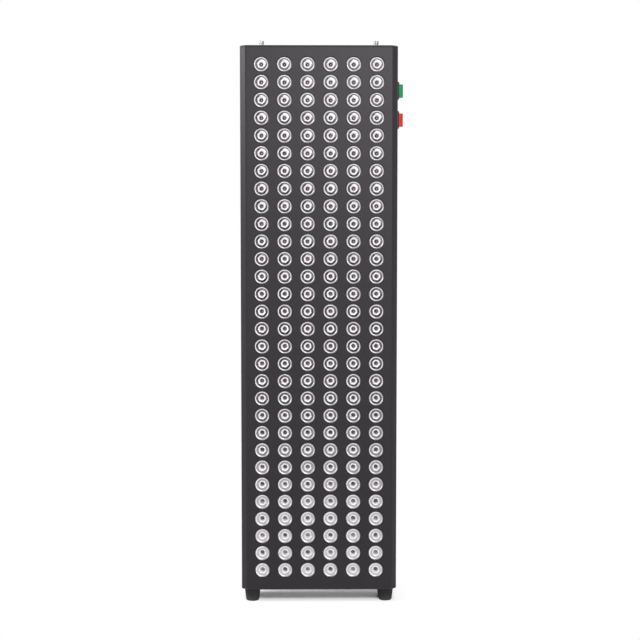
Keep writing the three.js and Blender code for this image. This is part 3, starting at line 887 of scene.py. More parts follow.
@dataclass(frozen=True)
class PowderCoat(Finish):
    """Satin powder coat: fine orange peel, thin dust, and edges painted paler, for scuffs and as a
    painted highlight.
    """

    colour: Colour = (0.0118, 0.0098, 0.0126)
    dusty: Colour = (0.16, 0.155, 0.15)
    rubbed_and_highlight: Colour = (0.09, 0.09, 0.095)
    clouding: float = 1.04
    dust: float = 0.03
    wear_and_edge_shading: float = 0.5
    roughness: float = 0.42
    spread: float = 0.006

    def wire(self, look: Look) -> None:
        """Wires the coat.

        Args:
            look: the new material
        """
        look.constants(Specular_IOR_Level=0.265)
        grain = look.grain(1500.0)
        patches = grain["Patches"]
        paler = tuple(self.clouding * level for level in self.colour)
        coat = look.mix(look.ramp(patches, (0.3, 0.0), (0.7, 1.0)), self.colour, paler)
        coat = look.mix(look.mask(look.effects.dust, self.dust), coat, self.dusty)
        # Painted highlight: edges are mixed towards a paler colour, which also stands for scuffs.
        look.colour(look.mix(look.mask(look.effects.wear_and_edge_shading, self.wear_and_edge_shading), coat, self.rubbed_and_highlight))
        smooth, rough = self.roughness - self.spread, self.roughness + self.spread
        look.rough(patches, (0.3, smooth), (0.7, rough))
        look.relief(grain["Height"], depth=0.12, strength=0.2)


@dataclass(frozen=True)
class MouldedPlastic(Finish):
    """Moulded plastic with a fine spark-eroded or a polished surface, and a second colour in
    cloudy patches and along its edges, for scuffs and painted edge shading.
    """

    colour: Colour
    worn_and_edge_shading: Colour
    roughness: float = 0.45
    grain: float = 2600.0
    relief: float = 0.25
    specular: float = 0.4
    wear_and_edge_shading: float = 0.35
    spread: float = 0.06

    def wire(self, look: Look) -> None:
        """Wires the plastic.

        Args:
            look: the new material
        """
        look.constants(Specular_IOR_Level=self.specular)
        grain = look.grain(self.grain)
        patches = grain["Patches"]
        cloud = look.ramp(patches, (0.25, 0.0), (0.75, 0.5))
        colour = look.mix(cloud, self.colour, self.worn_and_edge_shading)
        # Painted edge shading: edges take the second colour, paler on the black mouldings and
        # darker, as painted shade, on the rocker caps.
        look.colour(look.mix(look.mask(look.effects.wear_and_edge_shading, self.wear_and_edge_shading), colour, self.worn_and_edge_shading))
        smooth, rough = self.roughness - self.spread, self.roughness + self.spread
        look.rough(patches, (0.3, smooth), (0.7, rough))
        look.relief(grain["Height"], depth=0.05, strength=self.relief)


@dataclass(frozen=True)
class Rubber(Finish):
    """Matt moulded rubber with dust towards the floor."""

    colour: Colour = (0.012, 0.012, 0.012)
    dusty: Colour = (0.09, 0.088, 0.085)
    dust_per_metre: float = -70.0
    dust_start: float = -0.7

    def wire(self, look: Look) -> None:
        """Wires the rubber.

        Args:
            look: the new material
        """
        look.constants(Specular_IOR_Level=0.3)
        grain = look.grain(1200.0)
        height = look.node("SeparateXYZ", {0: look.place}).outputs["Z"]
        low = look.math("MULTIPLY_ADD", height, self.dust_per_metre, self.dust_start, clamp=True)
        powder = look.math("MULTIPLY", low, grain["Patches"])
        look.colour(look.mix(powder, self.colour, self.dusty))
        look.rough(grain["Patches"], (0.2, 0.7), (0.8, 0.95))
        look.relief(grain["Height"], depth=0.1, strength=0.35)


@dataclass(frozen=True)
class Metal(Finish):
    """Bare or plated metal with drawn, turned or rolled lines."""

    colour: Colour
    darker: Colour
    stretch: Point
    roughness: float
    smoother: float = 0.07
    rougher: float = 0.08

    def wire(self, look: Look) -> None:
        """Wires the metal.

        Args:
            look: the new material
        """
        look.constants(Metallic=1.0)
        lines = look.effect(look.effects.brushed, Place=look.place, Stretch=self.stretch)
        height = lines["Height"]
        stain = look.ramp(look.grain(900.0)["Patches"], (0.35, 0.0), (0.75, 1.0))
        streak = look.ramp(height, (0.3, 0.0), (0.7, 0.5))
        colour = look.mix(stain, self.colour, self.darker)
        look.colour(look.mix(streak, colour, self.darker))
        smooth, rough = self.roughness - self.smoother, self.roughness + self.rougher
        look.rough(height, (0.3, smooth), (0.7, rough))
        look.relief(height, depth=0.04, strength=0.2)


@dataclass(frozen=True)
class SleevedLead(Finish):
    """Woven sleeve over a bundle of wires."""

    colour: Colour = (0.02, 0.02, 0.022)
    thread: Colour = (0.07, 0.07, 0.075)

    def wire(self, look: Look) -> None:
        """Wires the sleeve.

        Args:
            look: the new material
        """
        look.constants(Specular_IOR_Level=0.35)
        inputs = {"Vector": look.place, "Scale": 260.0, "Distortion": 0.4}
        waves = [
            look.node("TexWave", inputs, bands_direction=way).outputs["Fac"]
            for way in ("DIAGONAL", "Z")
        ]
        weave = look.math("MAXIMUM", *waves)
        look.colour(look.mix(weave, self.colour, self.thread))
        look.rough(look.grain(2200.0)["Patches"], (0.2, 0.5), (0.8, 0.7))
        look.relief(weave, depth=0.2, strength=0.5)


@dataclass(frozen=True)
class LensRim(Finish):
    """The clear outer ring of a lens. Its glints are painted highlights, its shaded colour is
    painted shade in random patches, and its dark edge colour at the outer radius is painted shade.
    """

    colour: Colour = (0.97, 0.96, 0.97)
    shaded: Colour = (0.50, 0.49, 0.50)
    edge: Colour = (0.06, 0.06, 0.063)
    glints: Profile = (
        (0.0, 0.2), (0.09, 1.0), (0.19, 1.0), (0.25, -0.2),
        (0.32, 0.0), (0.42, 0.9), (0.5, 0.0), (0.7, 0.7),
    )

    def wire(self, look: Look) -> None:
        """Wires the ring.

        Args:
            look: the new material
        """
        look.constants(Roughness=0.22)
        cell = look.cell()
        flow = look.flow_round(cell, bends=1.3, seed=31.0)
        # Painted highlights: glints at the same places round every ring.
        around = look.math("MULTIPLY_ADD", cell["Turn"], 0.5 / math.pi, 0.5)
        glints = look.ramp(around, *self.glints)
        shade = look.math("MULTIPLY_ADD", flow, 1.2, 0.4)
        shade = look.math("SUBTRACT", shade, glints, clamp=True)
        colour = look.mix(shade, self.colour, self.shaded)
        # Painted shade: the ring darkens to its edge colour at its outer radius.
        radius = look.math("DIVIDE", cell["Radius"], HOLE_RADIUS)
        outer = look.ramp(radius, (0.88, 0.0), (0.93, 1.0))
        look.colour(look.mix(outer, colour, self.edge))
        look.relief(flow, depth=0.15, strength=0.3)


@dataclass(frozen=True)
class LensGroove(Finish):
    """The deep ring between rim and collar, painted dark as painted shade for the dark housing
    that the lens shows.

    The lowest lamps are seen from so far above their axes that their lenses show the white board
    there instead: this is painted light, laid on by height, and the top lamps are painted a little
    less dark. A painted highlight crescent lies low and left in each lens, and one high and right
    of the collar in the upper lamps.
    """

    pale: Colour = (0.60, 0.59, 0.60)
    crescent_highlight: Colour = (0.93, 0.92, 0.93)
    dark: Colour = (0.004, 0.004, 0.005)
    reddish: Colour = (0.020, 0.010, 0.012)
    painted_shade_by_height: Profile = (
        (0.0, 0.10), (0.12, 0.24), (0.22, 0.6), (0.34, 0.92),
        (0.45, 1.0), (0.72, 1.0), (0.9, 0.97), (1.0, 0.85),
    )
    low_highlight_turn: float = 2.3
    high_highlight_turn: float = -0.95

    def wire(self, look: Look) -> None:
        """Wires the groove.

        Args:
            look: the new material
        """
        look.constants(Roughness=0.4)
        cell = look.cell()
        twice = look.math("MULTIPLY_ADD", cell["Turn"], 2.0, -4 * math.pi / 3)
        pinch = look.math("MULTIPLY", look.math("COSINE", twice), 0.1)
        flow = look.math("SUBTRACT", look.flow_round(cell, bends=1.6, seed=17.0), pinch)
        arcs = look.ramp(flow, (0.44, 1.0), (0.64, 0.84))
        # Painted shade: the ring's darkness follows the lamp's height, and the lowest lamps are
        # painted pale as painted light from the floor.
        depth = look.ramp(cell["Share"], *self.painted_shade_by_height)
        dark = look.math("MULTIPLY", arcs, depth, clamp=True)
        ink = look.mix(cell["Kind"], self.reddish, self.dark)
        ring = look.mix(dark, self.pale, ink)
        radius = look.math("DIVIDE", cell["Radius"], HOLE_RADIUS)
        # Painted highlights: a crescent low and left in every lens, and one high and right of the
        # collar in the upper lamps.
        highlight_crescents = []
        for turn, band in (
            (self.low_highlight_turn, ((0.79, 0.0), (0.82, 1.0))),
            (self.high_highlight_turn, ((0.62, 1.0), (0.66, 0.0))),
        ):
            side = look.ramp(look.aside(cell, turn), (0.45, 0.0), (0.85, 1.0))
            highlight_crescents.append(look.math("MULTIPLY", look.ramp(radius, *band), side))
        low, high = highlight_crescents
        upper = look.ramp(cell["Share"], (0.5, 0.0), (0.85, 1.0))
        both = look.math("MULTIPLY_ADD", high, upper, low, clamp=True)
        look.colour(look.mix(both, ring, self.crescent_highlight))
        look.relief(arcs, depth=0.15, strength=0.3)


@dataclass(frozen=True)
class LensCollar(Finish):
    """The white inner cup of a lens, faintly pink round the red lamps, with painted shade in
    random patches and more of it in the lower lamps.
    """

    colour: Colour = (0.93, 0.93, 0.94)
    pink: Colour = (0.94, 0.88, 0.895)
    shaded: Colour = (0.72, 0.71, 0.72)

    def wire(self, look: Look) -> None:
        """Wires the cup.

        Args:
            look: the new material
        """
        look.constants(Roughness=0.25)
        cell = look.cell()
        red = look.math("SUBTRACT", 1.0, cell["Kind"])
        tint = look.mix(red, self.colour, self.pink)
        flow = look.flow_round(cell, bends=1.2, seed=53.0)
        # Painted shade: the cup is shaded in random patches round each lamp, and more in the lower
        # lamps.
        low = look.ramp(cell["Share"], (0.1, 0.5), (0.45, 0.0))
        shade = look.math("ADD", look.ramp(flow, (0.45, 0.0), (0.7, 0.7)), low, clamp=True)
        look.colour(look.mix(shade, tint, self.shaded))
        look.relief(flow, depth=0.2, strength=0.3)


@dataclass(frozen=True)
class LampChip(Finish):
    """The lamp's chip under its small dome: dark, with a painted highlight a little off its middle
    that is stronger in the upper lamps, and painted light laid over it in the lowest lamps.
    """

    dark: Colour = (0.025, 0.025, 0.026)
    red: Colour = (0.036, 0.024, 0.027)
    middle: Colour = (0.58, 0.58, 0.57)
    low_lamp_light: Colour = (0.36, 0.35, 0.35)
    highlight_offset: float = 0.7
    highlight_turn: float = 0.7
    highlight_reach: float = 3.0
    highlight_by_height: Profile = ((0.15, 0.3), (0.4, 0.5), (0.65, 1.0), (0.95, 1.4))

    def wire(self, look: Look) -> None:
        """Wires the chip.

        Args:
            look: the new material
        """
        look.constants(Roughness=0.3)
        cell = look.cell()
        red = look.math("SUBTRACT", 1.0, cell["Kind"])
        edge = look.mix(red, self.dark, self.red)
        # Painted highlight: a pale patch a little off the chip's middle, stronger higher up the
        # panel.
        radius, offset = cell["Radius"], self.highlight_offset
        pull = look.product(radius, look.aside(cell, self.highlight_turn), -2 * offset)
        square = look.math("MULTIPLY_ADD", radius, radius, offset**2)
        away = look.math("SQRT", look.math("MAXIMUM", look.math("ADD", square, pull), 0.0))
        highlight_spot = look.ramp(look.math("DIVIDE", away, self.highlight_reach), (0.2, 1.0), (0.42, 0.0))
        chance = look.math("MULTIPLY_ADD", cell["Chance"], 0.6, 0.3)
        level = look.ramp(cell["Share"], *self.highlight_by_height)
        highlight_share = look.math("MULTIPLY", look.product(highlight_spot, chance), level, clamp=True)
        colour = look.mix(highlight_share, edge, self.middle)
        # Painted light: the chips of the lowest lamps are laid over with a pale colour.
        low = look.ramp(cell["Share"], (0.06, 0.75), (0.28, 0.0))
        low_lamp_light = look.math("MULTIPLY", low, look.math("MULTIPLY_ADD", red, 0.7, 0.3))
        look.colour(look.mix(low_lamp_light, colour, self.low_lamp_light))


@dataclass(frozen=True)
class SolderMask(Finish):
    """White solder mask of the lamp boards, with faint copper tracks below it."""

    colour: Colour = (0.80, 0.80, 0.79)
    track: Colour = (0.72, 0.72, 0.70)
    reach: float = 20.0

    def wire(self, look: Look) -> None:
        """Wires the mask.

        Args:
            look: the new material
        """
        look.constants(Roughness=0.35)
        near = look.math("DIVIDE", look.cell()["Radius"], self.reach)
        track = look.ramp(near, (0.5, 0.0), (0.55, 1.0), (0.72, 1.0), (0.76, 0.0))
        colour = look.mix(track, self.colour, self.track)
        patch = look.math("MULTIPLY", look.grain(700.0)["Patches"], 0.25)
        look.colour(look.mix(patch, colour, self.track))
        look.relief(track, depth=0.05, strength=0.4)


@dataclass(frozen=True)
class Finishes:
    """The finishes of the whole panel, each made once."""

    coat: bpy.types.Material
    black_plastic: bpy.types.Material
    fan_plastic: bpy.types.Material
    green: bpy.types.Material
    orange: bpy.types.Material
    mark: bpy.types.Material
    rubber: bpy.types.Material
    nickel: bpy.types.Material
    zinc: bpy.types.Material
    aluminium: bpy.types.Material
    case: bpy.types.Material
    sleeve: bpy.types.Material
    rim: bpy.types.Material
    groove: bpy.types.Material
    collar: bpy.types.Material
    chip: bpy.types.Material
    board: bpy.types.Material


def make_finishes(grid: LampGrid) -> Finishes:
    """Makes every finish of the panel.

    Args:
        grid: the lamp grid, which the lens finishes follow

    Returns:
        the finishes
    """
    effects = Effects(
        grain=grain_effect(),
        wear_and_edge_shading=wear_and_edge_shading_effect(),
        dust=dust_effect(),
        brushed=brushed_effect(),
        lamp_cell=lamp_cell_effect(grid),
    )
    glossy = {"roughness": 0.34, "grain": 700.0, "relief": 0.08, "specular": 0.2, "wear_and_edge_shading": 1.0}
    black = MouldedPlastic((0.007, 0.007, 0.008), (0.018, 0.018, 0.019), specular=0.3)
    fan = MouldedPlastic((0.010, 0.010, 0.011), (0.030, 0.030, 0.031), roughness=0.4)
    # The rocker caps' darker second colour is painted shade along their edges.
    green = MouldedPlastic((0.008, 0.29, 0.09), (0.003, 0.13, 0.04), **glossy)
    orange = MouldedPlastic((0.66, 0.035, 0.010), (0.36, 0.02, 0.007), **glossy)
    mark = MouldedPlastic(
        (0.75, 0.75, 0.74), (0.85, 0.85, 0.85), roughness=0.4, grain=900.0, relief=0.1
    )
    turned, rolled, drawn, brushed = (
        (60.0, 60.0, 2600.0),
        (900.0, 900.0, 50.0),
        (1400.0, 1400.0, 9.0),
        (1100.0, 1100.0, 30.0),
    )
    nickel = Metal((0.36, 0.35, 0.34), (0.24, 0.235, 0.225), turned, roughness=0.42)
    zinc = Metal((0.42, 0.44, 0.45), (0.30, 0.31, 0.32), rolled, roughness=0.4)
    extruded = Metal((0.50, 0.51, 0.52), (0.36, 0.37, 0.38), drawn, roughness=0.38)
    case = Metal((0.44, 0.45, 0.46), (0.34, 0.35, 0.36), brushed, roughness=0.45)
    return Finishes(
        coat=PowderCoat().material("black_powder_coat", effects),
        black_plastic=black.material("black_moulding", effects),
        fan_plastic=fan.material("fan_moulding", effects),
        green=green.material("green_rocker_moulding", effects),
        orange=orange.material("orange_rocker_moulding", effects),
        mark=mark.material("white_mark", effects),
        rubber=Rubber().material("foot_rubber", effects),
        nickel=nickel.material("turned_nickel", effects),
        zinc=zinc.material("zinc_plate", effects),
        aluminium=extruded.material("extruded_aluminium", effects),
        case=case.material("driver_case", effects),
        sleeve=SleevedLead().material("lead_sleeve", effects),
        rim=LensRim().material("lens_rim", effects),
        groove=LensGroove().material("lens_groove", effects),
        collar=LensCollar().material("lens_collar", effects),
        chip=LampChip().material("lamp_chip", effects),
        board=SolderMask().material("white_solder_mask", effects),
    )


def along(axis: Axis, value: float) -> EdgeTest:
    """Gives a test for edges whose ends both lie at one value of an axis."""
    return lambda *ends: all(abs(end[axis.value] - value) < NEAR for end in ends)


def parallel(axis: Axis) -> EdgeTest:
    """Gives a test for edges that run along an axis."""
    others = [other.value for other in Axis if other is not axis]
    return lambda a, b: all(abs(a[index] - b[index]) < STRAIGHT for index in others)


def tube(inner: float, outer: float, low: float, high: float) -> Profile:
    """Gives the profile of a tube from its two radii and its two ends."""
    return ((inner, low), (outer, low), (outer, high), (inner, high))


def screw(name: str, radius: float, centre: Point, facing: Facing) -> Part:
    """Makes a pan head screw with a cross recess.

    Args:
        name: the screw's name
        radius: the head's radius
        centre: the middle of the seat
        facing: where the head points

    Returns:
        the screw
    """
    tall = radius * HEAD_HEIGHT
    profile = [(radius * across, tall * up) for across, up in HEAD_PROFILE]
    head = Part.turned(name, profile, sides=20, centre=centre, facing=facing)
    way = facing.way
    top = Vector(centre) + way * tall
    flat = [index for index in range(3) if way[index] == 0]
    long_share, short_share, depth_share = RECESS_SHARES
    for long_axis, short_axis in (flat, flat[::-1]):
        half = [tall * depth_share] * 3
        half[long_axis], half[short_axis] = radius * long_share, radius * short_share
        head.cut(Part.around("recess", top, half))
    return head


@dataclass(frozen=True)
class Layout:
    """Sizes and places that several sub-assemblies share."""

    half_width: float = 130.0
    front: float = -32.5
    rear: float = 32.5
    sheet: float = 1.5
    flange_rear: float = 30.7
    low: float = 3.3
    high: float = 902.7
    top: float = 906.0
    overrun: float = 3.0
    floors: tuple[str, ...] = ("upper", "middle", "lower")
    fan_heights: Numbers = (721.0, 453.0, 185.0)
    fan_screw: float = 35.8
    switch_heights: Numbers = (834.0, 786.0)
    switch_depth: float = 12.7
    inlet_height: float = 78.0


@dataclass
class Housing:
    """The folded, perforated housing with its two caps."""

    grid: LampGrid
    layout: Layout
    finishes: Finishes
    chamfer: float = 9.0
    flange: float = 12.0
    fold: float = 1.6
    cap_edge: float = 0.4
    hole: float = HOLE_RADIUS
    hole_sides: int = 20
    rim_depth: float = 1.2
    rim_round: float = 0.7
    cell_reach: float = 27.0
    switch_opening: Pair = (16.6, 13.3)

    def build(self) -> None:
        """Builds the housing and the caps."""
        shell = self._shell()
        self._round_folds(shell)
        shell.thicken(self.layout.sheet)
        deep, tall = self.switch_opening
        for z in self.layout.switch_heights:
            middle = (self.layout.half_width, self.layout.switch_depth, z)
            shell.cut(Part.around("switch_opening", middle, (self.layout.overrun, deep, tall)))
        shell.finish("black_paint", self.finishes.coat, stands_for=["front_housing"], smooth=32.0)
        for end in ("top", "bottom"):
            cap = Part.from_node(f"{end}_cap_pressing", f"{end}_cap")
            cap.soften(self.cap_edge, segments=3, angle=25.0)
            cap.finish("black_paint", self.finishes.coat, stands_for=[f"{end}_cap"])

    def _tile(self) -> Part:
        """Makes one cell of the face: a hole with a rolled rim in a flat field.

        Returns:
            the lowest cell on the left
        """
        x, z = self.grid.first(self.grid.boards - 1)
        profile = (
            (self.hole, -self.rim_depth),
            (self.hole, self.rim_round - self.rim_depth),
            (self.hole + self.rim_round, 0),
            (self.cell_reach, 0),
        )
        centre = (x, self.layout.front, z)
        tile = Part.turned("housing_shell", profile, self.hole_sides, centre, Facing.FRONT)
        with tile.shaping():
            tile.pick(
                Select.FACES,
                lambda middle: math.hypot(middle.x - x, middle.z - z) < self.hole / 2,
            )
            bpy.ops.mesh.delete(type="ONLY_FACE")
            for way in (Vector((1, 0, 0)), Vector((0, 0, 1))):
                half = way.x * self.grid.across / 2 + way.z * self.grid.up / 2
                for side in (-1, 1):
                    bpy.ops.mesh.select_all(action="SELECT")
                    bpy.ops.mesh.bisect(
                        plane_co=metres(Vector(centre) + side * half * way),
                        plane_no=side * way,
                        clear_outer=True,
                    )
        return tile

    def _shell(self) -> Part:
        """Repeats the tile over the grid and draws out the sides and the ends.

        Returns:
            the outer side of the housing, without thickness
        """
        grid, layout = self.grid, self.layout
        shell = self._tile().repeat(grid.columns, (grid.across, 0, 0))
        shell.repeat(grid.rows, (0, 0, grid.up))
        edge = grid.columns / 2 * grid.across
        for side in (-1, 1):
            shell.extrude(
                along(Axis.X, side * edge),
                (side * (layout.half_width - self.chamfer - edge), 0, 0),
                (side * self.chamfer, self.chamfer, 0),
                (0, layout.flange_rear - layout.front - self.chamfer, 0),
                (-side * self.flange, 0, 0),
            )
        low = grid.lowest - grid.up / 2
        for level, target in ((low, layout.low), (low + grid.rows * grid.up, layout.high)):
            shell.extrude(along(Axis.Z, level), (0, 0, target - level))
        with shell.shaping():
            shell.tidy()
            mesh = bmesh.from_edit_mesh(shell.thing.data)
            face = max(mesh.faces, key=lambda face: face.calc_area())
            middle = face.calc_center_median()
            if middle.x * face.normal.x + face.normal.y * layout.front * MM < 0:
                bpy.ops.mesh.flip_normals()
        return shell

    def _round_folds(self, shell: Part) -> None:
        """Rounds the folds of the sides.

        Args:
            shell: the outer side of the housing
        """
        half, front = self.layout.half_width, self.layout.front
        folds = (
            (half - self.chamfer, front),
            (half, front + self.chamfer),
            (half, self.layout.flange_rear),
        )
        shell.round_edges(
            lambda a, b: abs(a.z - b.z) > NEAR
            and any(
                all(abs(abs(end.x) - x) < NEAR and abs(end.y - y) < NEAR for end in (a, b))
                for x, y in folds
            ),
            self.fold,
        )


@dataclass
class RearCover:
    """The rear cover with its fan guards, intake slots, inlet opening and screws."""

    layout: Layout
    finishes: Finishes
    corner: float = 1.5
    edge: float = 0.25
    slot_round: float = 0.49
    cutter_depth: float = 5.0
    guard_radius: float = 35.0
    guard_lines: int = 4
    guard_pitch: float = 8.0
    guard_slot: float = 4.4
    intake_slot: Pair = (3.6, 90.0)
    intake_places: Numbers = (64.0, 73.0, 82.0)
    intake_heights: Numbers = (587.0, 319.0)
    inlet_opening: Pair = (27.6, 20.2)
    head: float = 3.0
    side_screw: float = 124.0
    side_screw_heights: Numbers = (40.0, 246.0, 452.0, 658.0, 864.0)
    end_screw: float = 60.0
    end_screw_heights: Numbers = (8.5, 897.5)

    def build(self) -> None:
        """Builds the cover and its screws."""
        layout = self.layout
        cover = Part.block(
            "rear_cover_sheet",
            (-layout.half_width, layout.rear - layout.sheet, layout.low),
            (layout.half_width, layout.rear, layout.high),
        )
        cover.round_edges(parallel(Axis.Y), self.corner)
        slots = [self._slot(*opening) for opening in self._openings()]
        cover.cut(slots[0].join(*slots[1:]))
        cover.soften(self.edge)
        cover.finish("black_paint", self.finishes.coat, stands_for=["rear_cover"])
        self._screws()

    def _openings(self) -> list[tuple[float, float, float, float]]:
        """Lists the openings of the cover.

        Returns:
            the x, z, width and height of each
        """
        openings = []
        for height in self.layout.fan_heights:
            for line in range(-self.guard_lines, self.guard_lines + 1):
                rise = line * self.guard_pitch
                outer = abs(rise) + self.guard_slot / 2
                wide = 2 * math.sqrt(self.guard_radius**2 - outer**2)
                openings.append((0, height + rise, wide, self.guard_slot))
        for height in self.intake_heights:
            for x in self.intake_places:
                openings += [(side * x, height, *self.intake_slot) for side in (-1, 1)]
        return [*openings, (0, self.layout.inlet_height, *self.inlet_opening)]

    def _slot(self, x: float, z: float, wide: float, tall: float) -> Part:
        """Makes the cutter of one slot with round ends.

        Args:
            x: how far right the slot's middle is
            z: how high its middle is
            wide: its width
            tall: its height

        Returns:
            the cutter
        """
        layout = self.layout
        low = (x - wide / 2, layout.rear - self.cutter_depth, z - tall / 2)
        high = (x + wide / 2, layout.rear + layout.overrun, z + tall / 2)
        slot = Part.block("slot", low, high)
        return slot.round_edges(parallel(Axis.Y), min(wide, tall) * self.slot_round, segments=4)

    def _screws(self) -> None:
        """Fastens the cover along its edges and the fans through it."""
        pattern = screw("cover_screws", self.head, (0, self.layout.rear, 0), Facing.REAR)
        sides, ends = (-self.side_screw, self.side_screw), (-self.end_screw, self.end_screw)
        places = [(x, z) for x in sides for z in self.side_screw_heights]
        places += [(x, z) for x in ends for z in self.end_screw_heights]
        offsets = (-self.layout.fan_screw, self.layout.fan_screw)
        for height in self.layout.fan_heights:
            places += [(x, height + z) for x in offsets for z in offsets]
        copies = [pattern.copy("cover_screw", (x, 0, z)) for x, z in places]
        bpy.data.objects.remove(pattern.thing)
        copies[0].join(*copies[1:]).thing.name = "cover_screws"
        copies[0].finish("zinc_steel", self.finishes.zinc)


@dataclass
class Lamps:
    """The 180 lamps: board, chips and stepped lenses, board by board."""

    grid: LampGrid
    layout: Layout
    finishes: Finishes
    front: float = -21.5
    thickness: float = 1.6
    half_wide: float = 113.0
    half_tall: float = 144.5
    corner: float = 2.0
    edge: float = 0.15
    rim: Profile = ((11.8, 5.2), (11.8, 9.8), (11.3, 10.4), (10.1, 9.9))
    groove: Profile = ((11.0, 5.8), (11.0, 6.6), (6.3, 7.0))
    collar: Profile = ((6.6, 3.0), (6.8, 8.6), (6.1, 9.6), (5.0, 9.2), (3.2, 1.0))
    chip: Profile = ((3.5, 0.0), (3.4, 1.0), (2.1, 1.9), (0.9, 2.2))
    collar_sides: int = 12
    petal_share: float = 0.89

    def build(self) -> None:
        """Builds the three boards with their lamps."""
        shapes = (
            ("rims", self.rim, 16, True, self.finishes.rim),
            ("grooves", self.groove, 16, True, self.finishes.groove),
            ("collars", self.collar, self.collar_sides, True, self.finishes.collar),
            ("chips", self.chip, 10, False, self.finishes.chip),
        )
        for board, name in enumerate(self.layout.floors):
            self._board(board, name)
            x, z = self.grid.first(board)
            centre = (x, self.front, z)
            for label, profile, sides, ring, material in shapes:
                title = f"lamp_{label}_{name}"
                lamps = Part.turned(title, profile, sides, centre, Facing.FRONT, ring)
                if label == "collars":
                    self._petals(lamps, centre)
                lamps.repeat(self.grid.columns, (self.grid.across, 0, 0))
                lamps.repeat(self.grid.rows // self.grid.boards, (0, 0, self.grid.up))
                lamps.finish("lens_clear", material, smooth=40.0)

    def _petals(self, collar: Part, centre: Point) -> None:
        """Draws every second corner column of a collar in, which gives it six petals.

        Args:
            collar: the collar
            centre: where the lamp's axis leaves the board
        """
        x, _, z = centre
        step = math.tau / self.collar_sides
        with collar.shaping(Select.CORNERS):
            collar.pick(
                Select.CORNERS,
                lambda corner: round(math.atan2(corner.z - z, corner.x - x) / step - 0.5) % 2 == 0,
            )
            bpy.ops.transform.resize(
                value=(self.petal_share, 1, self.petal_share), center_override=metres(centre)
            )

    def _board(self, board: int, name: str) -> None:
        """Builds one board, which stands for the CAD board with its lenses.

        Args:
            board: the board's number, counted from the top
            name: what the board is called
        """
        z = self.grid.first(board)[1] + self.grid.up * (self.grid.rows / self.grid.boards - 1) / 2
        low = (-self.half_wide, self.front, z - self.half_tall)
        high = (self.half_wide, self.front + self.thickness, z + self.half_tall)
        plate = Part.block(f"lamp_plate_{name}", low, high)
        plate.round_edges(parallel(Axis.Y), self.corner).soften(self.edge, segments=1)
        plate.finish("lens_clear", self.finishes.board, stands_for=[f"lamp_board_{name}"])


@dataclass
class Interior:
    """Heat sinks, rails, drivers, nuts and leads, with the CAD's own shapes."""

    layout: Layout
    finishes: Finishes
    sink_edge: float = 0.3
    rail_edge: float = 0.4
    driver_edge: float = 0.5
    nut_edge: float = 0.3

    def build(self) -> None:
        """Dresses the pieces between the boards and the rear cover."""
        finishes = self.finishes
        sinks = [f"heat_sink_{name}" for name in self.layout.floors]
        rails = ("mounting_rail_left", "mounting_rail_right")
        drivers = ("red_driver", "infrared_driver")
        nuts = ("stud_nut_left", "stud_nut_right")
        for nodes, slot, material, edge in (
            (sinks, "bare_aluminium", finishes.aluminium, self.sink_edge),
            (rails, "zinc_steel", finishes.zinc, self.rail_edge),
            (drivers, "bare_aluminium", finishes.case, self.driver_edge),
            (nuts, "zinc_steel", finishes.zinc, self.nut_edge),
        ):
            for node in nodes:
                piece = Part.from_node(f"{node}_dressed", node).soften(edge)
                piece.finish(slot, material, stands_for=[node])
        for node in (
            "mains_lead",
            "switch_link_lead",
            "red_driver_lead",
            "infrared_driver_lead",
            "red_lamp_lead",
            "infrared_lamp_lead",
        ):
            piece = Part.from_node(f"{node}_dressed", node)
            piece.finish("lead_sleeve", finishes.sleeve, stands_for=[node], smooth=60.0)


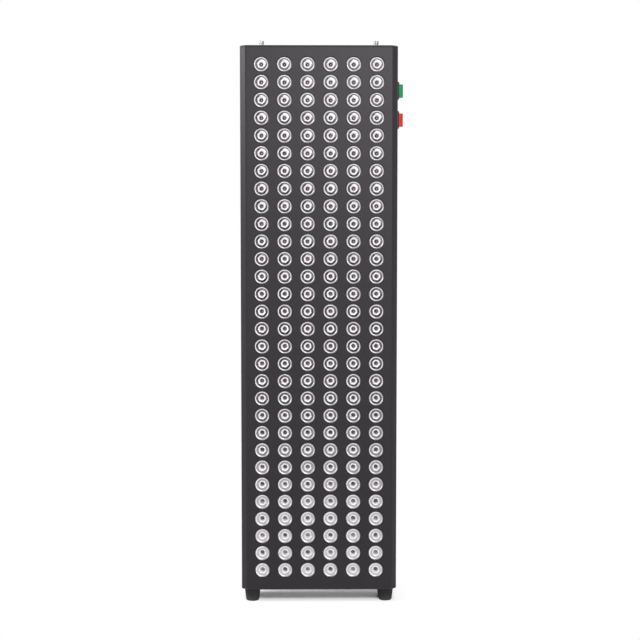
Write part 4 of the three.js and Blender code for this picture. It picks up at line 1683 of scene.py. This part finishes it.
@dataclass
class Fans:
    """Three fans, each a frame and a rotor that turns about its own shaft."""

    layout: Layout
    finishes: Finishes
    size: float = 80.0
    depth: float = 25.0
    duct: float = 37.5
    duct_wall: float = 1.8
    duct_inset: float = 0.4
    flange: float = 3.5
    corner: float = 5.0
    flange_edge: float = 0.3
    strut_edge: float = 0.5
    screw_hole: float = 2.2
    motor: float = 16.0
    motor_edge: float = 0.6
    plate: float = 3.0
    shaft: float = 1.5
    shaft_hole: float = 2.0
    shaft_sunk: float = 1.0
    half_strut: float = 2.5
    strut_sunk: Pair = (1.5, 1.0)
    hub_gap: float = 0.5
    hub_length: float = 19.0
    hub_crown: Profile = ((-1.4, 0.0), (-0.5, 0.5), (0.0, 1.6))
    blades: int = 7
    blade_chord: float = 15.0
    blade_camber: float = 0.9
    blade_steps: int = 6
    half_blade: float = 0.6
    blade_sunk: float = 1.0
    blade_clearance: float = 2.4
    blade_widening: float = 0.4
    blade_turns: Pair = (52.0, 28.0)

    def build(self) -> None:
        """Makes one frame and one rotor and copies them to the three places."""
        frame_part, rotor_part = self._frame(), self._rotor()
        bodies = (Body.UPPER_ROTOR, Body.MIDDLE_ROTOR, Body.LOWER_ROTOR)
        plastic = self.finishes.fan_plastic
        for name, z, body in zip(self.layout.floors, self.layout.fan_heights, bodies):
            place = (0, self.layout.flange_rear, z)
            piece = frame_part.copy(f"fan_housing_{name}", place)
            piece.finish("black_plastic", plastic, stands_for=[f"fan_frame_{name}"])
            piece = rotor_part.copy(f"fan_impeller_{name}", place)
            piece.finish("black_plastic", plastic, body, [f"fan_rotor_{name}"], smooth=40.0)
        bpy.data.objects.remove(frame_part.thing)
        bpy.data.objects.remove(rotor_part.thing)

    def _frame(self) -> Part:
        """Makes a fan frame with its duct, flanges, struts and motor plate.

        Returns:
            the frame, whose rear face lies at the origin
        """
        half = self.size / 2
        over = self.layout.overrun
        offsets = (-self.layout.fan_screw, self.layout.fan_screw)
        ends = (self.duct_inset - self.depth, -self.duct_inset)
        wall = tube(self.duct, self.duct + self.duct_wall, *ends)
        fan = Part.turned("fan_frame_pattern", wall, sides=48, facing=Facing.REAR, ring=True)
        bores = [(self.duct, 48, (0, 0, 0))]
        bores += [(self.screw_hole, 12, (x, 0, z)) for x in offsets for z in offsets]
        for front in (-self.depth, -self.flange):
            flange = Part.block("flange", (-half, front, -half), (half, front + self.flange, half))
            flange.round_edges(parallel(Axis.Y), self.corner, segments=4)
            for radius, sides, centre in bores:
                rod = ((radius, -self.depth - over), (radius, over))
                flange.cut(Part.turned("bore", rod, sides, centre, Facing.REAR))
            fan.join(flange.soften(self.flange_edge, segments=1))
        disc = (
            (self.motor, -self.plate),
            (self.motor, -self.motor_edge),
            (self.motor - self.motor_edge, 0),
        )
        plate = Part.turned("plate", disc, sides=32, facing=Facing.REAR)
        rod = ((self.shaft_hole, -self.plate - over), (self.shaft_hole, over))
        fan.join(plate.cut(Part.turned("shaft_hole", rod, sides=16, facing=Facing.REAR)))
        inner, outer = self.strut_sunk
        low = (self.motor - inner, -self.plate, -self.half_strut)
        high = (self.duct + outer, 0, self.half_strut)
        for quarter in range(4):
            strut = Part.block("strut", low, high).soften(self.strut_edge)
            fan.join(strut.turn(90.0 * quarter, Axis.Y, (0, 0, 0)))
        return fan

    def _rotor(self) -> Part:
        """Makes a rotor: a rounded hub with seven curved, twisted blades.

        Returns:
            the rotor, on the same origin as the frame
        """
        rear = -self.plate - self.hub_gap
        front = rear - self.hub_length
        profile = [(self.motor + step, front + rise) for step, rise in self.hub_crown]
        profile.append((self.motor, rear))
        hub = Part.turned("fan_rotor_pattern", profile, sides=32, facing=Facing.REAR)
        rod = ((self.shaft, rear - self.shaft_sunk), (self.shaft, -self.hub_gap))
        shaft = Part.turned("shaft", rod, sides=12, facing=Facing.REAR)
        blades = [self._blade((front + rear) / 2)]
        for turn in range(1, self.blades):
            blade = blades[0].copy("blade", (0, 0, 0))
            blades.append(blade.turn(360.0 * turn / self.blades, Axis.Y, (0, 0, 0)))
        return hub.join(shaft, *blades)

    def _blade(self, middle: float) -> Part:
        """Makes one blade from a flat strip that is cambered, widened and twisted.

        Args:
            middle: the y of the blade's middle

        Returns:
            the blade, which points along +X
        """
        root, tip = self.motor - self.blade_sunk, self.duct - self.blade_clearance
        half = self.blade_chord / 2
        low = (root, middle - self.half_blade, -half)
        blade = Part.block("blade", low, (tip, middle + self.half_blade, half))
        for axis in (Axis.X, Axis.Z):
            with blade.shaping(Select.EDGES):
                blade.pick(Select.EDGES, parallel(axis))
                bpy.ops.mesh.subdivide(number_cuts=self.blade_steps - 1)
        stations = [step / self.blade_steps for step in range(self.blade_steps + 1)]
        for share in stations:
            z = (2 * share - 1) * half
            rise = self.blade_camber * (z / half) ** 2
            with blade.shaping(Select.CORNERS):
                blade.pick(Select.CORNERS, lambda corner: abs(corner.z - z) < NEAR)
                bpy.ops.transform.translate(value=metres((0, rise, 0)))
        steep, flat = self.blade_turns
        for share in stations:
            x = root + (tip - root) * share
            centre = metres((x, middle, 0))
            widening = 1 + self.blade_widening * share
            with blade.shaping(Select.CORNERS):
                blade.pick(Select.CORNERS, lambda corner: abs(corner.x - x) < NEAR)
                bpy.ops.transform.resize(value=(1, 1, widening), center_override=centre)
                bpy.ops.transform.rotate(
                    value=-math.radians(steep + (flat - steep) * share),
                    orient_axis="X",
                    center_override=centre,
                )
        return blade


@dataclass
class Switch:
    """One rocker switch in the right side wall, with its coloured cap."""

    colour: str
    height: float
    body: Body
    slot: str
    cap: bpy.types.Material
    finishes: Finishes
    pivot: Pair = (129.5, 12.7)
    rest: float = 16.0
    crease: float = 4.47
    bezel_edge: float = 0.45
    cap_edge: float = 0.7
    mark_reach: float = 6.6
    mark_corner: float = 0.3
    mark_sunk: float = 0.3
    mark_proud: float = 0.15
    bar: Pair = (0.5, 2.6)
    ring: Pair = (1.7, 2.6)

    def build(self) -> None:
        """Builds the bezel and barrel, the cap, and the two marks on it."""
        barrel, rocker = f"{self.colour}_switch_body", f"{self.colour}_rocker"
        shell = Part.from_node(f"{self.colour}_switch_bezel", barrel)
        shell.soften(self.bezel_edge, segments=3, angle=35.0)
        shell.finish("black_plastic", self.finishes.black_plastic, stands_for=[barrel])
        cap = Part.from_node(f"{rocker}_cap", rocker).soften(self.cap_edge, segments=3, angle=25.0)
        cap.finish(self.slot, self.cap, self.body, [rocker], smooth=40.0)
        self._marks()

    def _marks(self) -> None:
        """Adds the on bar and the off ring, which lie in the cap's two faces."""
        x, y = self.pivot
        face = x + self.crease + self.mark_reach * math.tan(math.radians(self.rest))
        on_place, off_place = (
            (face, y + side * self.mark_reach, self.height) for side in (-1, 1)
        )
        wide, tall = self.bar
        low = (face - self.mark_sunk, on_place[1] - wide, self.height - tall)
        high = (face + self.mark_proud, on_place[1] + wide, self.height + tall)
        bar = Part.block(f"{self.colour}_on_mark", low, high)
        bar.round_edges(parallel(Axis.X), self.mark_corner, segments=2)
        profile = tube(*self.ring, -self.mark_sunk, self.mark_proud)
        ring = Part.turned(
            f"{self.colour}_off_mark",
            profile,
            sides=24,
            centre=off_place,
            facing=Facing.RIGHT,
            ring=True,
        )
        for mark, place, tilt in ((bar, on_place, self.rest), (ring, off_place, -self.rest)):
            mark.turn(tilt, Axis.Z, place).turn(self.rest, Axis.Z, (x, y, self.height))
            mark.finish(self.slot, self.finishes.mark, self.body)


@dataclass
class Fittings:
    """Hanging studs on the top and rubber feet below."""

    layout: Layout
    finishes: Finishes
    stud_x: float = 95.0
    stud: Profile = (
        (2.5, -12), (2.5, 0), (3.5, 0), (3.5, 4.3), (3.3, 4.6), (3.3, 4.8), (4.0, 4.9),
        (4.2, 5.2), (4.2, 9.2), (3.9, 9.7), (3.3, 10.0),
    )
    foot_x: float = 112.0
    foot_y: float = 14.5
    foot: Profile = (
        (13.5, 0.8), (13.5, 0), (13.3, -1.2), (11.2, -18.6), (10.7, -20.2), (9.4, -21.0),
        (6.0, -21.0), (5.2, -20.5), (5.0, -8.0), (2.5, -8.0), (2.5, 0.8),
    )
    washer: Numbers = (2.4, 4.8, -9.0, -8.1)
    foot_screw: float = 3.9

    def build(self) -> None:
        """Builds the studs and the feet."""
        for side, x in (("left", -self.stud_x), ("right", self.stud_x)):
            centre = (x, 0, self.layout.top)
            stud = Part.turned(f"turned_stud_{side}", self.stud, sides=32, centre=centre)
            stud.finish("nickel", self.finishes.nickel, stands_for=[f"hanging_stud_{side}"])
        self._feet()

    def _feet(self) -> None:
        """Turns a foot with its counterbore, washer and screw, and copies it."""
        foot = Part.turned("foot_pattern", self.foot, sides=40, ring=True)
        metal = Part.turned("washer", tube(*self.washer), sides=24, ring=True)
        metal.join(screw("foot_screw", self.foot_screw, (0, 0, self.washer[2]), Facing.DOWN))
        for depth, y in (("front", -self.foot_y), ("rear", self.foot_y)):
            for side, x in (("left", -self.foot_x), ("right", self.foot_x)):
                name = f"foot_{depth}_{side}"
                piece = foot.copy(f"rubber_{name}", (x, y, 0))
                piece.finish("black_rubber", self.finishes.rubber, stands_for=[name], smooth=40.0)
                piece = metal.copy(f"screw_{name}", (x, y, 0))
                piece.finish("zinc_steel", self.finishes.zinc)
        bpy.data.objects.remove(foot.thing)
        bpy.data.objects.remove(metal.thing)


@dataclass
class Inlet:
    """The mains inlet: lozenge flange, socket, blades with their tabs, and screws."""

    layout: Layout
    finishes: Finishes
    seat: float = 0.3
    back: float = 2.8
    edge: float = 0.4
    corner: float = 2.0
    flange: Pair = (25.0, 12.5)
    taper_start: float = 5.5
    taper: Pair = (7.0, 11.0)
    shroud: Pair = (13.5, 9.8)
    shroud_depth: float = 15.7
    socket: Pair = (12.0, 8.3)
    socket_depth: float = 12.7
    socket_overrun: float = 2.0
    socket_corners: Pair = (4.0, 1.5)
    blade_places: Sequence[Pair] = ((-7.0, -2.0), (0.0, 2.0), (7.0, -2.0))
    blade: Point = (1.0, 2.0, 0.4)
    blade_ends: Pair = (13.5, 2.7)
    tab: Point = (0.4, 3.15, 0.15)
    tab_ends: Pair = (23.7, 15.2)
    screw_place: float = 20.0
    head: float = 2.9

    def build(self) -> None:
        """Builds the moulding, the metal in it, and its screws."""
        self._moulding()
        z, rear = self.layout.inlet_height, self.layout.rear
        metal = []
        for x, rise in self.blade_places:
            for (wide, tall, edge), (front, end), segments in (
                (self.blade, self.blade_ends, 2),
                (self.tab, self.tab_ends, 1),
            ):
                low = (x - wide, rear - front, z + rise - tall)
                high = (x + wide, rear - end, z + rise + tall)
                metal.append(Part.block("blade", low, high).soften(edge, segments))
        metal[0].join(*metal[1:]).thing.name = "inlet_blades"
        metal[0].finish("nickel", self.finishes.nickel)
        left, right = (
            screw("inlet_screws", self.head, (x, rear + self.back, z), Facing.REAR)
            for x in (-self.screw_place, self.screw_place)
        )
        left.join(right).finish("zinc_steel", self.finishes.zinc)

    def _moulding(self) -> None:
        """Builds the flange with its shroud and cuts the socket into it."""
        z, rear = self.layout.inlet_height, self.layout.rear
        back = rear + self.back
        wide, tall = self.flange
        low = (-wide, rear + self.seat, z - tall)
        flange = Part.block("inlet_moulding", low, (wide, back, z + tall))
        across, up = self.taper
        for x in (-1, 1):
            for side in (-1, 1):
                corner = (x * wide, 0, z + side * self.taper_start)
                flange.bisect(corner, (x * across, 0, side * up))
        flange.round_edges(parallel(Axis.Y), self.corner)
        wide, tall = self.shroud
        low = (-wide, rear - self.shroud_depth, z - tall)
        shroud = Part.block("inlet_shroud", low, (wide, back, z + tall))
        flange.modify("BOOLEAN", operation="UNION", solver="EXACT", object=shroud.thing)
        bpy.data.objects.remove(shroud.thing)
        wide, tall = self.socket
        low = (-wide, rear - self.socket_depth, z - tall)
        socket = Part.block("socket", low, (wide, back + self.socket_overrun, z + tall))
        upper, lower = self.socket_corners
        socket.round_edges(lambda a, b: parallel(Axis.Y)(a, b) and a.z > z, upper, segments=1)
        socket.round_edges(lambda a, b: parallel(Axis.Y)(a, b) and a.z < z, lower)
        flange.cut(socket).soften(self.edge, segments=3)
        flange.finish("black_plastic", self.finishes.black_plastic, stands_for=["mains_inlet"])


@dataclass(frozen=True)
class Softbox:
    """One studio lamp: its size and place in metres, and where it points."""

    name: str
    size: Pair
    place: Point
    aim: Point
    power: float
    colour: Colour = (1.0, 1.0, 1.0)

    def build(self) -> None:
        """Adds the lamp."""
        light = bpy.data.lights.new(self.name, "AREA")
        light.shape = "RECTANGLE"
        light.size, light.size_y = self.size
        light.energy = self.power
        light.color = self.colour
        lamp = bpy.data.objects.new(self.name, light)
        bpy.context.scene.collection.objects.link(lamp)
        lamp.location = self.place
        way = Vector(self.aim) - Vector(self.place)
        lamp.rotation_euler = way.to_track_quat("-Z", "Y").to_euler()


@dataclass
class Studio:
    """White studio: floor, lamps, world and the camera at the photo's angle."""

    floor: float = -0.021
    floor_radius: float = 14.0
    footprint: Point = (0.121, 0.03, 0.029)
    side_haste: float = 3.0
    shadow_reach: float = 0.2
    ambient: float = 0.24
    focal_length: float = 84.375
    sensor: float = 36.0
    camera_place: Point = (-0.0297, -2.513, 0.6411)
    camera_down: float = 0.07497
    camera_left: float = -0.0126
    lamps: tuple[Softbox, ...] = (
        Softbox(
            "key_softbox", (1.1, 0.8), (0.5, -2.5, 1.4), (0.0, 0.0, 0.6), 40.0, (1.0, 0.965, 1.0)
        ),
        Softbox("left_softbox", (0.8, 1.0), (-1.7, -0.3, 1.5), (0.0, 0.0, 0.7), 46.0),
        Softbox("right_softbox", (0.5, 1.2), (2.0, -2.1, 1.4), (0.0, 0.0, 0.7), 14.0),
        Softbox("rear_softbox", (2.0, 1.4), (0.8, 2.6, 2.2), (0.0, 0.0, 0.5), 24.0),
        Softbox("top_softbox", (2.0, 2.0), (0.0, -0.9, 3.2), (0.0, -0.3, 0.0), 23.0),
    )

    def build(self) -> None:
        """Builds the whole set."""
        self._floor()
        for lamp in self.lamps:
            lamp.build()
        self._world()
        self._camera()

    def _floor(self) -> None:
        """Lays a large white floor. For camera, gloss and clear rays it glows as painted light,
        which fades in towards the panel's footprint and faster sideways, so the soft shadow shows
        only near the feet.
        """
        clear_bench()
        bpy.ops.mesh.primitive_circle_add(
            vertices=64, radius=self.floor_radius, fill_type="NGON", location=(0, 0, self.floor)
        )
        floor = Part.from_active("studio_floor")
        look = Look("white_floor")
        look.constants(Roughness=0.9, Specular_IOR_Level=0.1)
        look.colour(look.ramp(look.noise(look.place, 900.0), (0.0, 0.93), (1.0, 0.97)))
        split = look.node("SeparateXYZ", {0: look.place}).outputs
        reach = []
        # Painted light: the glow fades in towards the footprint, faster sideways, which lifts the
        # floor's real shadow everywhere else.
        half_x, half_y, middle_y = self.footprint
        for axis, middle, half, haste in (
            ("X", 0.0, half_x, self.side_haste),
            ("Y", middle_y, half_y, 1.0),
        ):
            offset = look.math("ABSOLUTE", look.math("SUBTRACT", split[axis], middle))
            outside = look.math("MULTIPLY", look.math("SUBTRACT", offset, half), haste)
            reach.append(look.math("POWER", look.math("MAXIMUM", outside, 0.0), 2.0))
        distance = look.math("SQRT", look.math("ADD", *reach))
        near = look.math("DIVIDE", distance, self.shadow_reach, clamp=True)
        far = look.ramp(near, (0.0, 0.0), (0.05, 0.5), (0.15, 0.85), (0.5, 1.0))
        share = look.math("MULTIPLY", far, seen_share(look))
        glow = look.node("Emission").outputs[0]
        both = look.node("MixShader", {0: share, 1: look.shader.outputs[0], 2: glow})
        look.feed(look.tree.nodes["Material Output"].inputs["Surface"], both.outputs[0])
        floor.thing.data.materials.append(look.material)

    def _world(self) -> None:
        """Makes the world white where it is seen and softer where it lights."""
        world = bpy.data.worlds.new("white_studio")
        bpy.context.scene.world = world
        world.use_nodes = True
        wiring = Wiring(world.node_tree)
        sky = world.node_tree.nodes["Background"]
        sky.inputs["Color"].default_value = (1.0, 1.0, 1.0, 1.0)
        share = seen_share(wiring)
        strength = wiring.math("MULTIPLY_ADD", share, 1.0 - self.ambient, self.ambient)
        wiring.feed(sky.inputs["Strength"], strength)

    def _camera(self) -> None:
        """Places the camera level with the upper rows, a little left of the middle."""
        lens = bpy.data.cameras.new("photo_camera")
        lens.lens, lens.sensor_width = self.focal_length, self.sensor
        camera = bpy.data.objects.new("photo_camera", lens)
        bpy.context.scene.collection.objects.link(camera)
        camera.location = self.camera_place
        camera.rotation_euler = (math.pi / 2 - self.camera_down, 0.0, self.camera_left)
        bpy.context.scene.camera = camera


def seen_share(wiring: Wiring) -> bpy.types.NodeSocket:
    """Tells rays that show the studio from those that light with it.

    Args:
        wiring: the tree that asks

    Returns:
        1 on rays that come from the camera, a gloss or a clear piece
    """
    path = wiring.node("LightPath").outputs
    glossy = wiring.math("MAXIMUM", path["Is Camera Ray"], path["Is Glossy Ray"])
    return wiring.math("MAXIMUM", glossy, path["Is Transmission Ray"])


def main() -> None:
    """Builds the studio and then the panel, sub-assembly by sub-assembly."""
    logging.basicConfig(level=logging.INFO, format="%(name)s: %(message)s")
    Studio().build()
    grid, layout = LampGrid(), Layout()
    finishes = make_finishes(grid)
    Housing(grid, layout, finishes).build()
    RearCover(layout, finishes).build()
    Lamps(grid, layout, finishes).build()
    Interior(layout, finishes).build()
    Fans(layout, finishes).build()
    upper, lower = layout.switch_heights
    for colour, height, body, slot, cap in (
        ("green", upper, Body.GREEN_ROCKER, "green_plastic", finishes.green),
        ("red", lower, Body.RED_ROCKER, "red_plastic", finishes.orange),
    ):
        Switch(colour, height, body, slot, cap, finishes).build()
    Fittings(layout, finishes).build()
    Inlet(layout, finishes).build()
    bpy.context.scene.view_settings.view_transform = "Standard"


if __name__ == "__main__":
    main()
